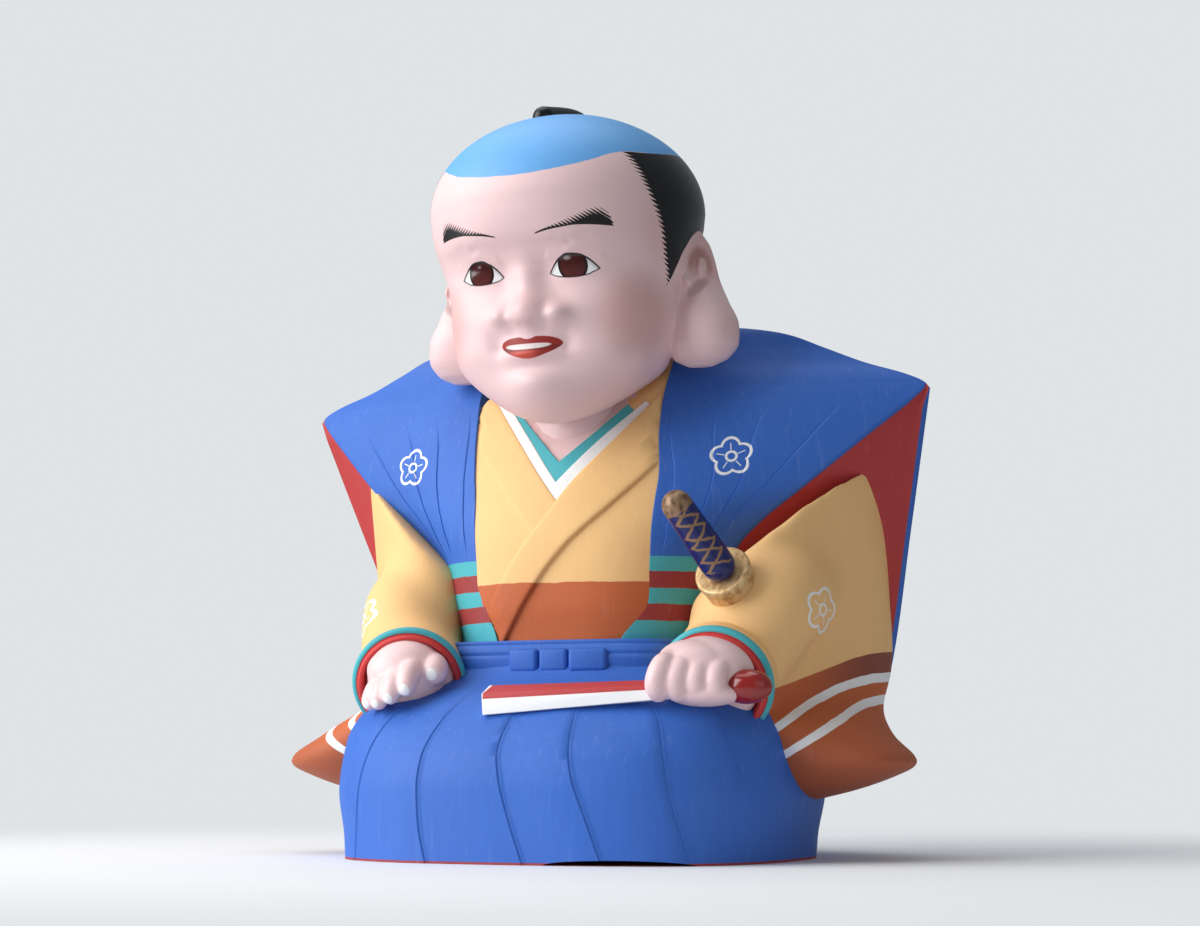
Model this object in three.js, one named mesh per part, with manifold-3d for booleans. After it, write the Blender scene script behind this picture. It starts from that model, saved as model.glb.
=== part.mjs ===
// A moulded and painted clay figure of a kneeling man in formal dress, with a short sword of its own.
// Millimetres, +Z up. The figure faces -Y, its left side is +X, and it stands on z = 0.
import * as THREE from "three";
import { mergeVertices } from "three/addons/utils/BufferGeometryUtils.js";
import Module from "manifold-3d";

const wasm = await Module();
wasm.setup();

// Driving sizes
const figureHeight = 293;
const hemWidth = 177;
const hemDepth = 166;
const beltHeight = 12;
const wingSpan = 266;
const panelThickness = 2.4;
const sleeveSpan = 259;
const headWidth = 108;
const headDepth = 101;
const headTurn = -3;
const fanLength = 104;
const gripLength = 27;
const gripRadius = 6.3;
const guardRadius = 10.8;
const guardThickness = 3.6;
const pegRadius = 5;
const pegLength = 11;
const pegClearance = 0.35;

// Pose, proportions and carving are kept in shares of the figure's height. One share is a
// 293rd of it, so a number of shares is also millimetres at the real height.
const share = figureHeight / 293;
const waistHeight = 82 * share;
const wingTipHeight = 181 * share;
const shoulderHeight = 206.5 * share;
const panelFoot = 54 * share;
const headMiddleY = -27 * share;
const chinHeight = 163 * share;
const jawHeight = 190 * share;
const browHeight = 248 * share;
const crownHeight = 287 * share;

const up = new THREE.Vector3(0, 0, 1);

// Smooth rise from 0 to 1 as value goes from low to high.
function rise(value, low, high) {
  const t = Math.min(1, Math.max(0, (value - low) / (high - low)));
  return t * t * (3 - 2 * t);
}

// A bell of height 1 and the given half width.
function bell(distance, halfWidth) {
  return Math.exp(-((distance / halfWidth) ** 2));
}

// The smaller of two values, with the corner between them rounded over.
function softMin(a, b, rounding) {
  const t = Math.max(0, rounding - Math.abs(a - b)) / rounding;
  return Math.min(a, b) - (t * t * rounding) / 4;
}

// A monotone curve through [place, value] pairs in rising order of place.
function profile(pairs) {
  const last = pairs.length - 1;
  const slopes = pairs.slice(1).map(([place, value], i) => {
    return (value - pairs[i][1]) / (place - pairs[i][0]);
  });
  const tangents = pairs.map((_, i) => {
    if (i === 0 || i === last) return slopes[Math.min(i, last - 1)];
    const [before, after] = [slopes[i - 1], slopes[i]];
    return before * after <= 0 ? 0 : (2 * before * after) / (before + after);
  });
  return (place) => {
    const held = THREE.MathUtils.clamp(place, pairs[0][0], pairs[last][0]);
    let i = 0;
    while (i < last - 1 && held > pairs[i + 1][0]) i++;
    const span = pairs[i + 1][0] - pairs[i][0];
    const t = (held - pairs[i][0]) / span;
    const blend = t * t * (3 - 2 * t);
    const lean = t * (1 - t) * span * ((1 - t) * tangents[i] - t * tangents[i + 1]);
    return pairs[i][1] * (1 - blend) + pairs[i + 1][1] * blend + lean;
  };
}

// A profile whose places and values are both shares of the height.
function outline(pairs) {
  return profile(pairs.map(([place, value]) => [place * share, value * share]));
}

// A profile of parts of a whole, at places in shares of the height.
function partsAt(pairs) {
  return profile(pairs.map(([place, part]) => [place * share, part]));
}

// A place given in shares of the height.
function spot(numbers) {
  return numbers.map((number) => number * share);
}

// A point of a superellipse. The angle starts at the front, -Y, and turns towards +X.
function roundedRing(angle, halfWidth, halfDepth, power) {
  const s = Math.sin(angle);
  const c = Math.cos(angle);
  return [
    Math.sign(s) * Math.abs(s) ** (2 / power) * halfWidth,
    -Math.sign(c) * Math.abs(c) ** (2 / power) * halfDepth,
  ];
}

// A closed cylinder whose every ring is drawn by ring(level from 0 to 1, angle), which gives [x, y, z].
function loft(columns, levels, ring) {
  const geometry = new THREE.CylinderGeometry(1, 1, 1, columns, levels);
  const position = geometry.getAttribute("position");
  const centreOf = (level) => {
    const sum = new THREE.Vector3();
    for (let i = 0; i < columns; i++) {
      sum.add(new THREE.Vector3(...ring(level, (2 * Math.PI * i) / columns)));
    }
    return sum.divideScalar(columns);
  };
  for (let i = 0; i < position.count; i++) {
    const level = position.getY(i) + 0.5;
    const radius = Math.hypot(position.getX(i), position.getZ(i));
    const angle = Math.atan2(position.getX(i), position.getZ(i));
    const point = radius < 0.5 ? centreOf(level) : new THREE.Vector3(...ring(level, angle));
    position.setXYZ(i, point.x, point.y, point.z);
  }
  return geometry;
}

// A ball stretched to three half axes, with its own Z leaned along direction, at centre, in shares.
function ovalBall(centre, halfAxes, direction = [0, 0, 1], detail = 10) {
  const geometry = new THREE.SphereGeometry(1, detail, Math.round(detail * 0.7));
  geometry.rotateX(Math.PI / 2);
  geometry.scale(...spot(halfAxes));
  const turn = new THREE.Quaternion().setFromUnitVectors(up, new THREE.Vector3(...direction).normalize());
  geometry.applyQuaternion(turn);
  geometry.translate(...spot(centre));
  return geometry;
}

// A round limb along a curve through points, with a radius at each and rounded ends, in shares.
function limb(points, radii, columns = 6, levels = 6) {
  const path = new THREE.CatmullRomCurve3(points.map((point) => new THREE.Vector3(...spot(point))));
  const thickness = profile(radii.map((radius, i) => [i / (radii.length - 1), radius * share]));
  const length = path.getLength();
  return loft(columns, levels, (level, angle) => {
    const along = (1 - Math.cos(Math.PI * level)) / 2;
    const way = path.getTangentAt(along);
    const across = new THREE.Vector3().crossVectors(way, new THREE.Vector3(0.31, 0.9, 0.3)).normalize();
    const over = new THREE.Vector3().crossVectors(across, way);
    const fromEnd = Math.min(along, 1 - along) * length;
    const radius = thickness(along);
    const rounding = fromEnd < radius ? Math.sqrt(Math.max(0.02, 1 - (1 - fromEnd / radius) ** 2)) : 1;
    const out = across.multiplyScalar(Math.cos(angle)).addScaledVector(over, -Math.sin(angle));
    return path.getPointAt(along).addScaledVector(out, radius * rounding).toArray();
  });
}

// A geometry as a solid that can be joined and cut.
function solidOf(geometry) {
  const bare = geometry.clone();
  for (const name of Object.keys(bare.attributes)) {
    if (name !== "position") bare.deleteAttribute(name);
  }
  const merged = mergeVertices(bare, 1e-3);
  const kept = [];
  const index = merged.index.array;
  for (let i = 0; i < index.length; i += 3) {
    const [a, b, c] = [index[i], index[i + 1], index[i + 2]];
    if (a !== b && b !== c && a !== c) kept.push(a, b, c);
  }
  return new wasm.Manifold(
    new wasm.Mesh({
      numProp: 3,
      vertProperties: new Float32Array(merged.attributes.position.array),
      triVerts: new Uint32Array(kept),
    }),
  );
}

// The hakama: knees in front, a lap that slopes up to the waist, and soft knife pleats.
const lapTop = waistHeight + 6 * share;
const lapEnd = waistHeight - 3 * share;
const pleats = [
  outline([[0, -66], [20, -64], [36, -61], [52, -54], [70, -40], [88, -27]]),
  outline([[0, -30], [15, -33.3], [28, -34], [40, -33], [51, -29.5], [70, -21], [88, -14]]),
  outline([[0, 9], [16, 3.4], [31, -0.8], [42, -2.6], [54, -1], [70, 1], [88, 2]]),
  outline([[0, 38.5], [17.6, 32], [31, 27.2], [43, 24.4], [54, 23], [70, 19], [88, 14]]),
  outline([[0, 67], [23, 61], [38, 58], [50, 54.5], [57, 49], [70, 38], [88, 27]]),
];
const pleatDrop = 1.2 * share;
const pleatWidth = 1.6 * share;
const pleatsEnd = { low: 56 * share, high: 66 * share };
const lapValley = { inner: 40 * share, outer: 72 * share };
const hemArch = { middle: 42 * share, halfWidth: 26 * share, height: 2 * share, reach: 60 * share };

// The columns of the front, from its right corner to its left, with plain ones between the creases.
function frontColumns(z, width) {
  const columns = [-1, -0.985, -0.9].map((part) => part * width);
  const drops = [0, 0, 0];
  pleats.forEach((pleat, i) => {
    const crease = pleat(z);
    const next = i < pleats.length - 1 ? pleats[i + 1](z) : 0.93 * width;
    columns.push(crease, crease + pleatWidth, (2 * crease + next) / 3, (crease + 2 * next) / 3);
    drops.push(0, 1, 0.5, 0.15);
  });
  columns.push(0.95 * width, 0.988 * width, width);
  drops.push(0, 0, 0);
  return { columns, drops };
}

function hakama() {
  const halfWidth = profile([
    [0, 0.495], [0.1, 0.5], [0.3, 0.518], [0.5, 0.513], [0.7, 0.46], [0.86, 0.36], [1, 0.27],
  ]);
  const front = profile([
    [0, 0.53], [0.3, 0.53], [0.5, 0.505], [0.66, 0.455], [0.8, 0.36], [0.92, 0.285], [1, 0.245],
  ]);
  const back = profile([[0, 0.47], [0.3, 0.47], [0.55, 0.45], [0.75, 0.4], [1, 0.34]]);
  const squareness = profile([[0, 3], [0.5, 2.8], [1, 2.2]]);
  const valley = profile([[0.45, 0], [0.6, 0.05], [0.68, 0.12], [0.795, 0.24], [0.9, 0.16], [1, 0.05]]);
  const frontCount = frontColumns(0, hemWidth).columns.length;
  const backCount = 16;
  const columns = frontCount + backCount;
  return loft(columns, 11, (part, angle) => {
    const place = Math.round((angle / (2 * Math.PI)) * columns + columns) % columns;
    const z = part * lapEnd;
    const level = z / lapTop;
    const width = halfWidth(level) * hemWidth;
    if (place < frontCount) {
      const { columns: across, drops } = frontColumns(z, width);
      const x = across[place];
      const power = squareness(level);
      const round = Math.max(0, 1 - Math.abs(x / width) ** power) ** (1 / power);
      const sunk = 1 - valley(level) * (1 - rise(Math.abs(x), lapValley.inner, lapValley.outer));
      const held = 1 - rise(z, pleatsEnd.low, pleatsEnd.high);
      return [x, drops[place] * pleatDrop * held - front(level) * hemDepth * round * sunk, z];
    }
    const turn = (Math.PI * (place - frontCount + 1)) / (backCount + 1);
    const [x, y] = roundedRing(Math.PI / 2 + turn, width, back(level) * hemDepth, 1.9);
    return [x, y, z];
  });
}

function archUnderHem() {
  const arch = new THREE.CylinderGeometry(1, 1, hemArch.reach, 20);
  arch.scale(hemArch.halfWidth, 1, hemArch.height);
  arch.translate(hemArch.middle, -0.56 * hemDepth + hemArch.reach / 2, 0);
  return arch;
}

// The stiff shoulder wings: two front panels, one broad back panel, and a sunk wall between their edges.
const strapEdge = outline([
  [54, 17], [82, 23], [95, 31.4], [109, 35.2], [135, 37.4], [148, 38.7], [162, 39], [183, 40], [207, 41],
]);
const strapLean = outline([
  [82, 0], [95, 1], [109, 0.5], [135, 0.6], [148, -0.6], [162, -3], [183, -5], [207, -5],
]);
const tip = wingSpan / 2 / share;
const wingEdge = {
  x: outline([
    [54, 45], [82, 46], [100, 49], [111, 53], [118, 61], [130, 76], [140, 88.5], [162, 0.85 * tip],
    [176, 0.963 * tip], [179, 0.99 * tip], [181, tip],
  ]),
  y: outline([[54, -6], [100, -12], [118, -13], [140, -8], [162, 4], [181, 17]]),
};
const backEdge = {
  x: outline([[54, 96], [75, 105], [127, 0.895 * tip], [181, tip]]),
  y: outline([[54, 66], [75, 57], [127, 37], [181, 17]]),
};
const ridge = {
  x: outline([
    [181, tip], [182, 0.99 * tip], [185, 0.925 * tip], [190, 0.81 * tip], [196.5, 92], [202.5, 77], [206, 58], [207, 46],
  ]),
  y: outline([[181, 17], [195, 13], [207, 8]]),
};
const frontMiddleY = outline([
  [54, -42], [90, -43], [117, -42], [140, -37], [162, -26], [181, -15], [207, 2],
]);
const backMiddleY = outline([[54, 88], [75, 80], [127, 60], [181, 37], [195, 27], [207, 15]]);
const foldsHigh = [0.04, 0.25, 0.45, 0.745];
const foldsLow = [0.17, 0.5, 0.67, 0.75];
const foldSink = 0.6 * share;

// How squarely the front panels turn from the chest to their edge.
const frontBow = partsAt([[100, 3.4], [118, 3], [142, 1.8]]);

// Where the front panels stand at a place across and a height.
function wingFrontY(x, z) {
  const edge = z > wingTipHeight ? ridge : wingEdge;
  const across = Math.min(1, Math.abs(x) / edge.x(z));
  return edge.y(z) + (frontMiddleY(z) - edge.y(z)) * (1 - across ** frontBow(z));
}

function wingBackY(x, z) {
  const edge = z > wingTipHeight ? ridge : backEdge;
  const across = Math.min(1, Math.abs(x) / edge.x(z));
  return edge.y(z) + (backMiddleY(z) - edge.y(z)) * (1 - across ** 2.4);
}

// The front panel's columns from strap to edge: each fold sinks at its crease and rises at once after.
function wingColumns(inner, outer, z) {
  const spread = rise(z, 112 * share, 170 * share);
  const sink = foldSink * rise(z, 112 * share, 124 * share) * (1 - rise(z, 158 * share, 178 * share));
  const columns = [[inner, 0]];
  foldsHigh.forEach((high, i) => {
    const crease = inner + (outer - inner) * (foldsLow[i] + (high - foldsLow[i]) * spread);
    columns.push([crease, sink], [crease + 0.015 * (outer - inner), 0]);
  });
  columns.push([outer, 0]);
  return columns.map(([x, depth]) => [x, wingFrontY(x, z) + depth]);
}

// One half of a mantle ring, from the middle of the front to the middle of the back.
function mantleHalf(z, side) {
  const above = z > wingTipHeight;
  const front = above ? [ridge.x(z), ridge.y(z)] : [wingEdge.x(z), wingEdge.y(z)];
  const back = above ? [ridge.x(z), ridge.y(z)] : [backEdge.x(z), backEdge.y(z)];
  const gap = Math.hypot(back[0] - front[0], back[1] - front[1]);
  const rim = Math.min(panelThickness, 0.2 * gap);
  const sink = Math.min(1.3 * panelThickness, 0.25 * gap);
  const inner = Math.min(strapEdge(z) + side * strapLean(z), 0.8 * front[0]);
  const recess = 2.5 * panelThickness * (1 - rise(z, 196 * share, shoulderHeight));
  const chestColumns = [0, 0.6, 1].map((part) => {
    return [part * inner, wingFrontY(part * inner, z) + recess];
  });
  const liningColumns = [0, 0.5, 1].map((part) => {
    const x = front[0] + (back[0] - front[0]) * part - sink;
    return [x, front[1] + rim + (back[1] - front[1] - 2 * rim) * part];
  });
  const backColumns = [1, 0.9, 0.76, 0.56, 0.36, 0.18, 0].map((part) => {
    return [part * back[0], wingBackY(part * back[0], z)];
  });
  return [...chestColumns, ...wingColumns(inner, front[0], z), ...liningColumns, ...backColumns];
}

function mantle() {
  const half = mantleHalf(panelFoot, 1).length - 1;
  const columns = 2 * half;
  const tipLevel = 12 / 17;
  return loft(columns, 17, (level, angle) => {
    const part = level < tipLevel ? level / tipLevel : (level - tipLevel) / (1 - tipLevel);
    const z =
      level < tipLevel
        ? panelFoot + (wingTipHeight - panelFoot) * part
        : wingTipHeight + (shoulderHeight - wingTipHeight) * part;
    const place = Math.round((angle / (2 * Math.PI)) * columns + columns) % columns;
    const mirrored = place > half;
    const [x, y] = mantleHalf(z, mirrored ? -1 : 1)[mirrored ? columns - place : place];
    return [mirrored ? -x : x, y, z];
  });
}

// The robe's front between the straps.
const chestFoot = 60 * share;
const chestTop = 204 * share;
const collarHollow = 3 * share;
const chestHalfWidth = outline([[60, 48], [120, 47], [160, 45], [188, 40], [207, 40]]);
const chestBulge = outline([[60, 3.5], [110, 3], [150, 1.4], [188, -3], [207, -3]]);
const chestBack = outline([[60, 20], [175, 20], [195, 10], [207, 6]]);

function chestY(x, z) {
  const across = Math.min(1, Math.abs(x) / chestHalfWidth(z));
  return wingFrontY(x, z) + 2 * share - chestBulge(z) * (1 - across ** 2);
}

function chest() {
  return loft(20, 9, (level, angle) => {
    const z = chestFoot + (chestTop - chestFoot) * level;
    const [x, y] = roundedRing(angle, chestHalfWidth(z), chestBack(z), 3);
    const front = chestY(x, z) + collarHollow * rise(z, 139 * share, 150 * share);
    const behind = 8 * share;
    return [x, Math.cos(angle) > 0.01 ? Math.min(front, behind) : behind + Math.max(0, y), z];
  });
}

// A flat band laid on the chest along a path of [x, z] places, which stands out by lift, in shares.
function laidBand(path, halfWidths, lift, levels = 5) {
  const curve = new THREE.CatmullRomCurve3(path.map(([x, z]) => new THREE.Vector3(x * share, 0, z * share)));
  const width = profile(halfWidths.map((half, i) => [i / (halfWidths.length - 1), half * share]));
  return loft(8, levels, (level, angle) => {
    const middle = curve.getPoint(level);
    const way = curve.getTangent(level);
    const [across, out] = roundedRing(angle + Math.PI / 8, width(level), 1, 5);
    const x = middle.x + way.z * across;
    const z = middle.z - way.x * across;
    const strap = strapEdge(z) + Math.sign(x) * strapLean(z);
    const shown = 1 - rise(Math.abs(x), strap - 2 * share, strap + share);
    const stands = out < 0 ? (out * lift * shown + 1.5 * (1 - shown)) * share : out * 1.6 * collarHollow;
    return [x, chestY(x, z) + stands, z];
  });
}

// Collars: the yellow lapels, left over right, then the white and the inner collar in a narrow V.
function collars() {
  const underLapel = laidBand([[0, 124.5], [-6.5, 132], [-25, 153.3], [-45, 176.5]], [7.6, 7.6], 1.1);
  const overPath = [[-27, 82], [-21, 91.6], [-7.7, 112], [7.6, 130.5], [27, 153], [46, 176]];
  const overLapel = laidBand(overPath, [6, 6.5, 7, 9.4, 10.3, 11], 1.9, 8);
  const whitePair = [
    laidBand([[2.5, 134.5], [-18, 158.6], [-37, 181]], [2.9, 2.6, 2.2], 0.5),
    laidBand([[-3.5, 134.5], [15, 157.5], [33.5, 179.5]], [2.9, 2.9, 2.9], 0.5),
  ];
  const innerPair = [
    laidBand([[0, 144.5], [-16, 160], [-31, 176]], [3.6, 3.2, 2.4], 0),
    laidBand([[-3, 144.5], [12, 160], [26, 176]], [3.6, 3.2, 2.4], 0),
  ];
  return [underLapel, overLapel, ...whitePair, ...innerPair];
}

// The belt and the three blocks of its flat knot.
const knotBlocks = [[-10.2, 11.6], [1.9, 11.3], [15.6, 14.6]];
const beltHalfWidth = 52 * share;
const beltHalfDepth = 45 * share;

function belt() {
  const band = loft(32, 3, (level, angle) => {
    const swell = 1 + 0.025 * Math.sin(Math.PI * level);
    const [x, y] = roundedRing(angle, beltHalfWidth * swell, beltHalfDepth * swell, 4);
    return [x, y + 2 * share, waistHeight - beltHeight * (1 - level)];
  });
  const middleZ = (waistHeight - 0.64 * beltHeight) / share;
  const blocks = knotBlocks.map(([x, width]) => {
    return ovalBall([x, -41.5, middleZ], [0.57 * width, 5.5, (0.4 * beltHeight) / share]);
  });
  return [band, ...blocks];
}

// A sleeve: its bag hangs beside the thigh to a blunt tip, and its top is cut slanting under the wing.
const bagReach = sleeveSpan / 2 / share;
const bag = {
  foot: 21 * share,
  top: 172 * share,
  middleX: outline([
    [21, 78], [26, 85], [30, 91], [36, 0.75 * bagReach], [47, 88], [63, 77.5], [100, 79], [127, 80.5], [148, 85],
  ]),
  rightInset: outline([[82, 0], [100, 1.5], [127, 2], [148, 2]]),
  middleY: outline([[21, 0], [36, -2], [47, 3], [63, 10], [75, 12], [100, 10], [127, 8], [148, 8]]),
  long: outline([
    [21, 8], [26, 20], [30, 25], [36, 30], [47, 38], [63, 49], [75, 51], [100, 47], [127, 42], [148, 32],
  ]),
  wide: outline([
    [21, 7], [26, 21], [30, 27], [36, 0.25 * bagReach], [47, 28], [63, 21], [82, 20], [127, 20], [148, 18],
  ]),
  turn: partsAt([[40, 0], [63, 25], [75, 27], [100, 30], [127, 34], [148, 36]]),
};

// The slanting top, from under the strap up to the outer shoulder.
function bagRoof(x, side) {
  return side > 0 ? 116 * share + 0.89 * (x - 72 * share) : 129 * share + 0.8 * (x - 72 * share);
}

function sleeveBag(side) {
  return loft(18, 12, (level, turned) => {
    const height = bag.foot + (bag.top - bag.foot) * level;
    const [wide, long] = roundedRing(side * turned, bag.wide(height), bag.long(height), 2.2);
    const turn = THREE.MathUtils.degToRad(bag.turn(height));
    const inset = side < 0 ? bag.rightInset(height) : 0;
    const x = bag.middleX(height) - inset + wide * Math.cos(turn) + long * Math.sin(turn);
    const y = bag.middleY(height) - wide * Math.sin(turn) + long * Math.cos(turn);
    return [side * x, y, height < waistHeight ? height : softMin(height, bagRoof(x, side), 6 * share)];
  });
}

// The forearm runs forward from under the wing and ends in a cuff with an outer and an inner rim.
const rightArm = {
  start: [-64, 8, 98],
  elbow: [-71.5, -19, 98],
  wrist: [-56.6, -48, 67],
  leaves: [0.36, -0.86, -0.36],
  radius: 21.2,
  slimmed: 0.78,
};
const leftArm = {
  start: [80, 6, 100],
  elbow: [80, -19, 95],
  wrist: [66.7, -44, 65.3],
  leaves: [0.05, -0.93, -0.36],
  radius: 21.2,
  slimmed: 0.94,
};
const cuffSteps = [[0, 1], [2.4, 1.01], [2.5, 0.93], [4.6, 0.93], [4.7, 0.84], [1.5, 0.78]];

function forearm({ start, elbow, wrist, leaves, radius, slimmed }) {
  const way = new THREE.Vector3(...leaves).normalize();
  const end = new THREE.Vector3(...spot(wrist));
  const from = end.clone().addScaledVector(way, -0.8 * radius * share);
  const [first, second] = [start, elbow].map((place) => new THREE.Vector3(...spot(place)));
  const path = new THREE.CatmullRomCurve3([first, second, from, end]);
  const levels = 10;
  const lastRings = cuffSteps.length;
  return loft(16, levels, (level, angle) => {
    const ringNumber = Math.round(level * levels);
    const step = cuffSteps[ringNumber - (levels - lastRings + 1)];
    const along = Math.min(1, ringNumber / (levels - lastRings));
    const tangent = path.getTangentAt(along);
    const middle = path.getPointAt(along).addScaledVector(way, step ? step[0] * share : 0);
    const across = new THREE.Vector3().crossVectors(tangent, up).normalize();
    const over = new THREE.Vector3().crossVectors(across, tangent);
    const size = radius * share * (step ? step[1] : slimmed + (1 - slimmed) * rise(along, 0.2, 0.95));
    const out = across.multiplyScalar(Math.cos(angle)).addScaledVector(over, -Math.sin(angle));
    return middle.addScaledVector(out, size).toArray();
  });
}

// The right hand lies flat on the thigh, four fingers side by side and the thumb apart.
function openHand() {
  const tips = [[-47.5, -70, 61], [-53.5, -71.5, 58], [-59.7, -70, 56], [-65.5, -66, 56]];
  const fingers = tips.map((tip, i) => {
    const root = [-49 - 4 * i, -54, 76 - 1.5 * i];
    const knuckle = [0.55 * root[0] + 0.45 * tip[0], tip[1] + 4.6, tip[2] + 9.5];
    return limb([root, knuckle, tip], [4.6, 4.4, 3.3]);
  });
  const thumb = limb([[-47, -50, 77], [-41, -56, 75.5], [-40.5, -62, 67.5]], [5, 4.8, 4]);
  const palm = ovalBall([-55.5, -53, 69.5], [15.5, 13, 14], [0.1, -0.35, 1]);
  const wrist = ovalBall([-55.5, -49, 67], [17, 17, 8], rightArm.leaves);
  return [...fingers, thumb, palm, wrist];
}

// The left hand closes over the fan.
function closedHand() {
  const fingers = [0, 1, 2, 3].map((i) => {
    const root = [57 + 6.4 * i, -58 + 1.5 * i, 75 - 0.6 * i];
    const tip = [54 + 6.8 * i, -66 + 2 * i, 59];
    const knuckle = [root[0] - 2, tip[1] - 5, root[2] - 3];
    const joint = [tip[0] - 0.5, tip[1] - 5.5, tip[2] + 4.5];
    return limb([root, knuckle, joint, tip], [4.4, 4.6, 4.4, 3.8], 6, 7);
  });
  const palm = ovalBall([68, -54, 69.5], [16.5, 13, 12], [0.25, -0.2, 1]);
  const wrist = ovalBall([67, -46, 66], [17, 17, 8], leftArm.leaves);
  return [...fingers, palm, wrist];
}

// The folding fan, closed, with a chamfered top edge and a round lacquered end.
const fanFoot = [[-5, -5.2], [4, -5.2], [4, 5.8], [1.5, 6.2], [-5, 2.5]];
const fanKnob = 14 * share;

function fan() {
  const section = new THREE.Shape(fanFoot.map(([x, y]) => new THREE.Vector2(x * share, y * share)));
  const bladeLength = fanLength - fanKnob;
  const blade = new THREE.ExtrudeGeometry(section, { depth: bladeLength, steps: 3, bevelEnabled: false });
  const position = blade.getAttribute("position");
  for (let i = 0; i < position.count; i++) {
    const taper = 1 - (0.34 * position.getZ(i)) / bladeLength;
    position.setXY(i, position.getX(i) * taper, position.getY(i) * taper);
  }
  blade.rotateX(Math.PI / 2);
  blade.rotateZ(Math.PI / 2);
  blade.rotateZ(THREE.MathUtils.degToRad(5));
  blade.rotateY(THREE.MathUtils.degToRad(-3));
  blade.translate(...spot([-13, -72, 58.5]));
  return [blade, ovalBall([83, -58, 63.2], [9.6, 6.8, 6.3])];
}

// The head: a broad cranium that narrows to full cheeks and a soft chin, in parts of its width and depth.
const headHalfWidth = partsAt([
  [163, 0.29], [172, 0.315], [181, 0.35], [190, 0.378], [203, 0.41], [214, 0.43], [228, 0.465], [240, 0.492],
  [248, 0.5],
]);
const headFront = partsAt([
  [163, 0.36], [190, 0.355], [200, 0.365], [212, 0.38], [221, 0.405], [230, 0.45], [240, 0.485], [248, 0.497],
]);
const jawLift = 10 * share;
const headBack = partsAt([[163, 0.3], [190, 0.34], [205, 0.4], [225, 0.47], [240, 0.49], [248, 0.5]]);

// Soft hollows and swellings of the face: across, height, half width, half height and depth.
const faceForms = {
  eyeSocket: [19, 221.5, 11, 6.5, -2.2],
  noseBridge: [0, 217, 4.5, 10, 1.8],
  cheek: [27, 203, 13, 12, 2],
  mouthMound: [0, 192, 13, 8, 1.6],
  underLip: [0, 184.8, 9, 2.6, -1.2],
  chin: [0, 176, 12, 7, 2.4],
};

function faceRelief(x, z) {
  let relief = 0;
  for (const form of Object.values(faceForms)) {
    const [across, height, wide, tall, depth] = spot(form);
    relief += depth * bell(Math.abs(x) - across, wide) * bell(z - height, tall);
  }
  return relief;
}

function skull() {
  return loft(32, 20, (level, turned) => {
    const z = chinHeight + ((crownHeight - chinHeight) * (1 - Math.cos(Math.PI * (0.03 + 0.94 * level)))) / 2;
    const dome = z > browHeight ? Math.sqrt(1 - ((z - browHeight) / (crownHeight - browHeight)) ** 2) : 1;
    const jaw = z < jawHeight ? Math.sqrt(1 - ((jawHeight - z) / (jawHeight - chinHeight)) ** 2) : 1;
    const angle = turned - 0.4 * Math.sin(turned);
    const faces = Math.cos(angle) > 0;
    const depth = (faces ? headFront(z) * jaw ** 0.6 : headBack(z) * jaw) * headDepth * dome;
    const [x, y] = roundedRing(angle, headHalfWidth(z) * headWidth * dome * jaw, depth, 2.08);
    const relief = faces ? faceRelief(x, z) * rise(Math.cos(angle), 0.1, 0.5) : 0;
    const outward = 1 + relief / Math.max(12 * share, Math.hypot(x, y));
    const behind = rise(y, -26 * share, 30 * share);
    const lift = jawLift * (1 - rise(z, chinHeight, 196 * share)) * behind;
    return [x * outward, y * outward + headMiddleY, z + lift];
  });
}

// The nose and lips stand on the face.
function noseAndLips() {
  const tipOfNose = ovalBall([0, -65.5, 207], [7.4, 8.5, 6], [0, -0.3, 1], 8);
  const wings = [-8.2, 8.2].map((x) => ovalBall([x, -62.5, 204.5], [4.8, 6, 4], [0, 0, 1], 8));
  const upperLip = ovalBall([0, -62, 196.4], [11.5, 4.4, 2.2], [0, 0.1, 1], 8);
  const lowerLip = ovalBall([0, -61.5, 190.6], [8.5, 4.8, 2.6], [0, 0.1, 1], 8);
  return [tipOfNose, ...wings, upperLip, lowerLip];
}

// An ear with a long full lobe and a hollow.
const earFoot = 187 * share;
const earTop = 240 * share;

function ear(side) {
  const middleX = outline([[187, 51], [200, 52.2], [213, 51.5], [240, 49]]);
  const wide = outline([
    [187, 5], [190, 11], [196, 14.3], [203, 14], [212, 10.5], [222, 7], [234, 5], [240, 2],
  ]);
  const long = outline([
    [187, 3], [190, 8], [196, 11.6], [203, 12.5], [213, 11], [224, 11], [234, 8], [240, 3],
  ]);
  return loft(10, 9, (level, angle) => {
    const z = earFoot + ((earTop - earFoot) * (1 - Math.cos(Math.PI * level))) / 2;
    const [x, y] = roundedRing(angle, wide(z), long(z), 2);
    return [side * middleX(z) + x, y - 15 * share, z];
  });
}

function earHollow(side) {
  return ovalBall([side * 58, -18, 224], [4, 6, 8], [side * 0.25, 0, 1], 8);
}

// The topknot, folded forward along the crown.
function topknot() {
  const path = [[0, 16, 262], [0, 3, 279.5], [-1, -14, 288.6], [-3.5, -46, 284.2]];
  return limb(path, [5.5, 4.6, 4.2, 4.3], 8, 8);
}

// The short sword: pommel, grip and guard, and a peg that goes into the figure.
const guardCentre = new THREE.Vector3(...spot([69, -42.5, 105.4]));
const guardWay = new THREE.Vector3(-0.074, -0.867, 0.492).normalize();
const gripWay = new THREE.Vector3(-0.41, -0.469, 0.781).normalize();

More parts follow.
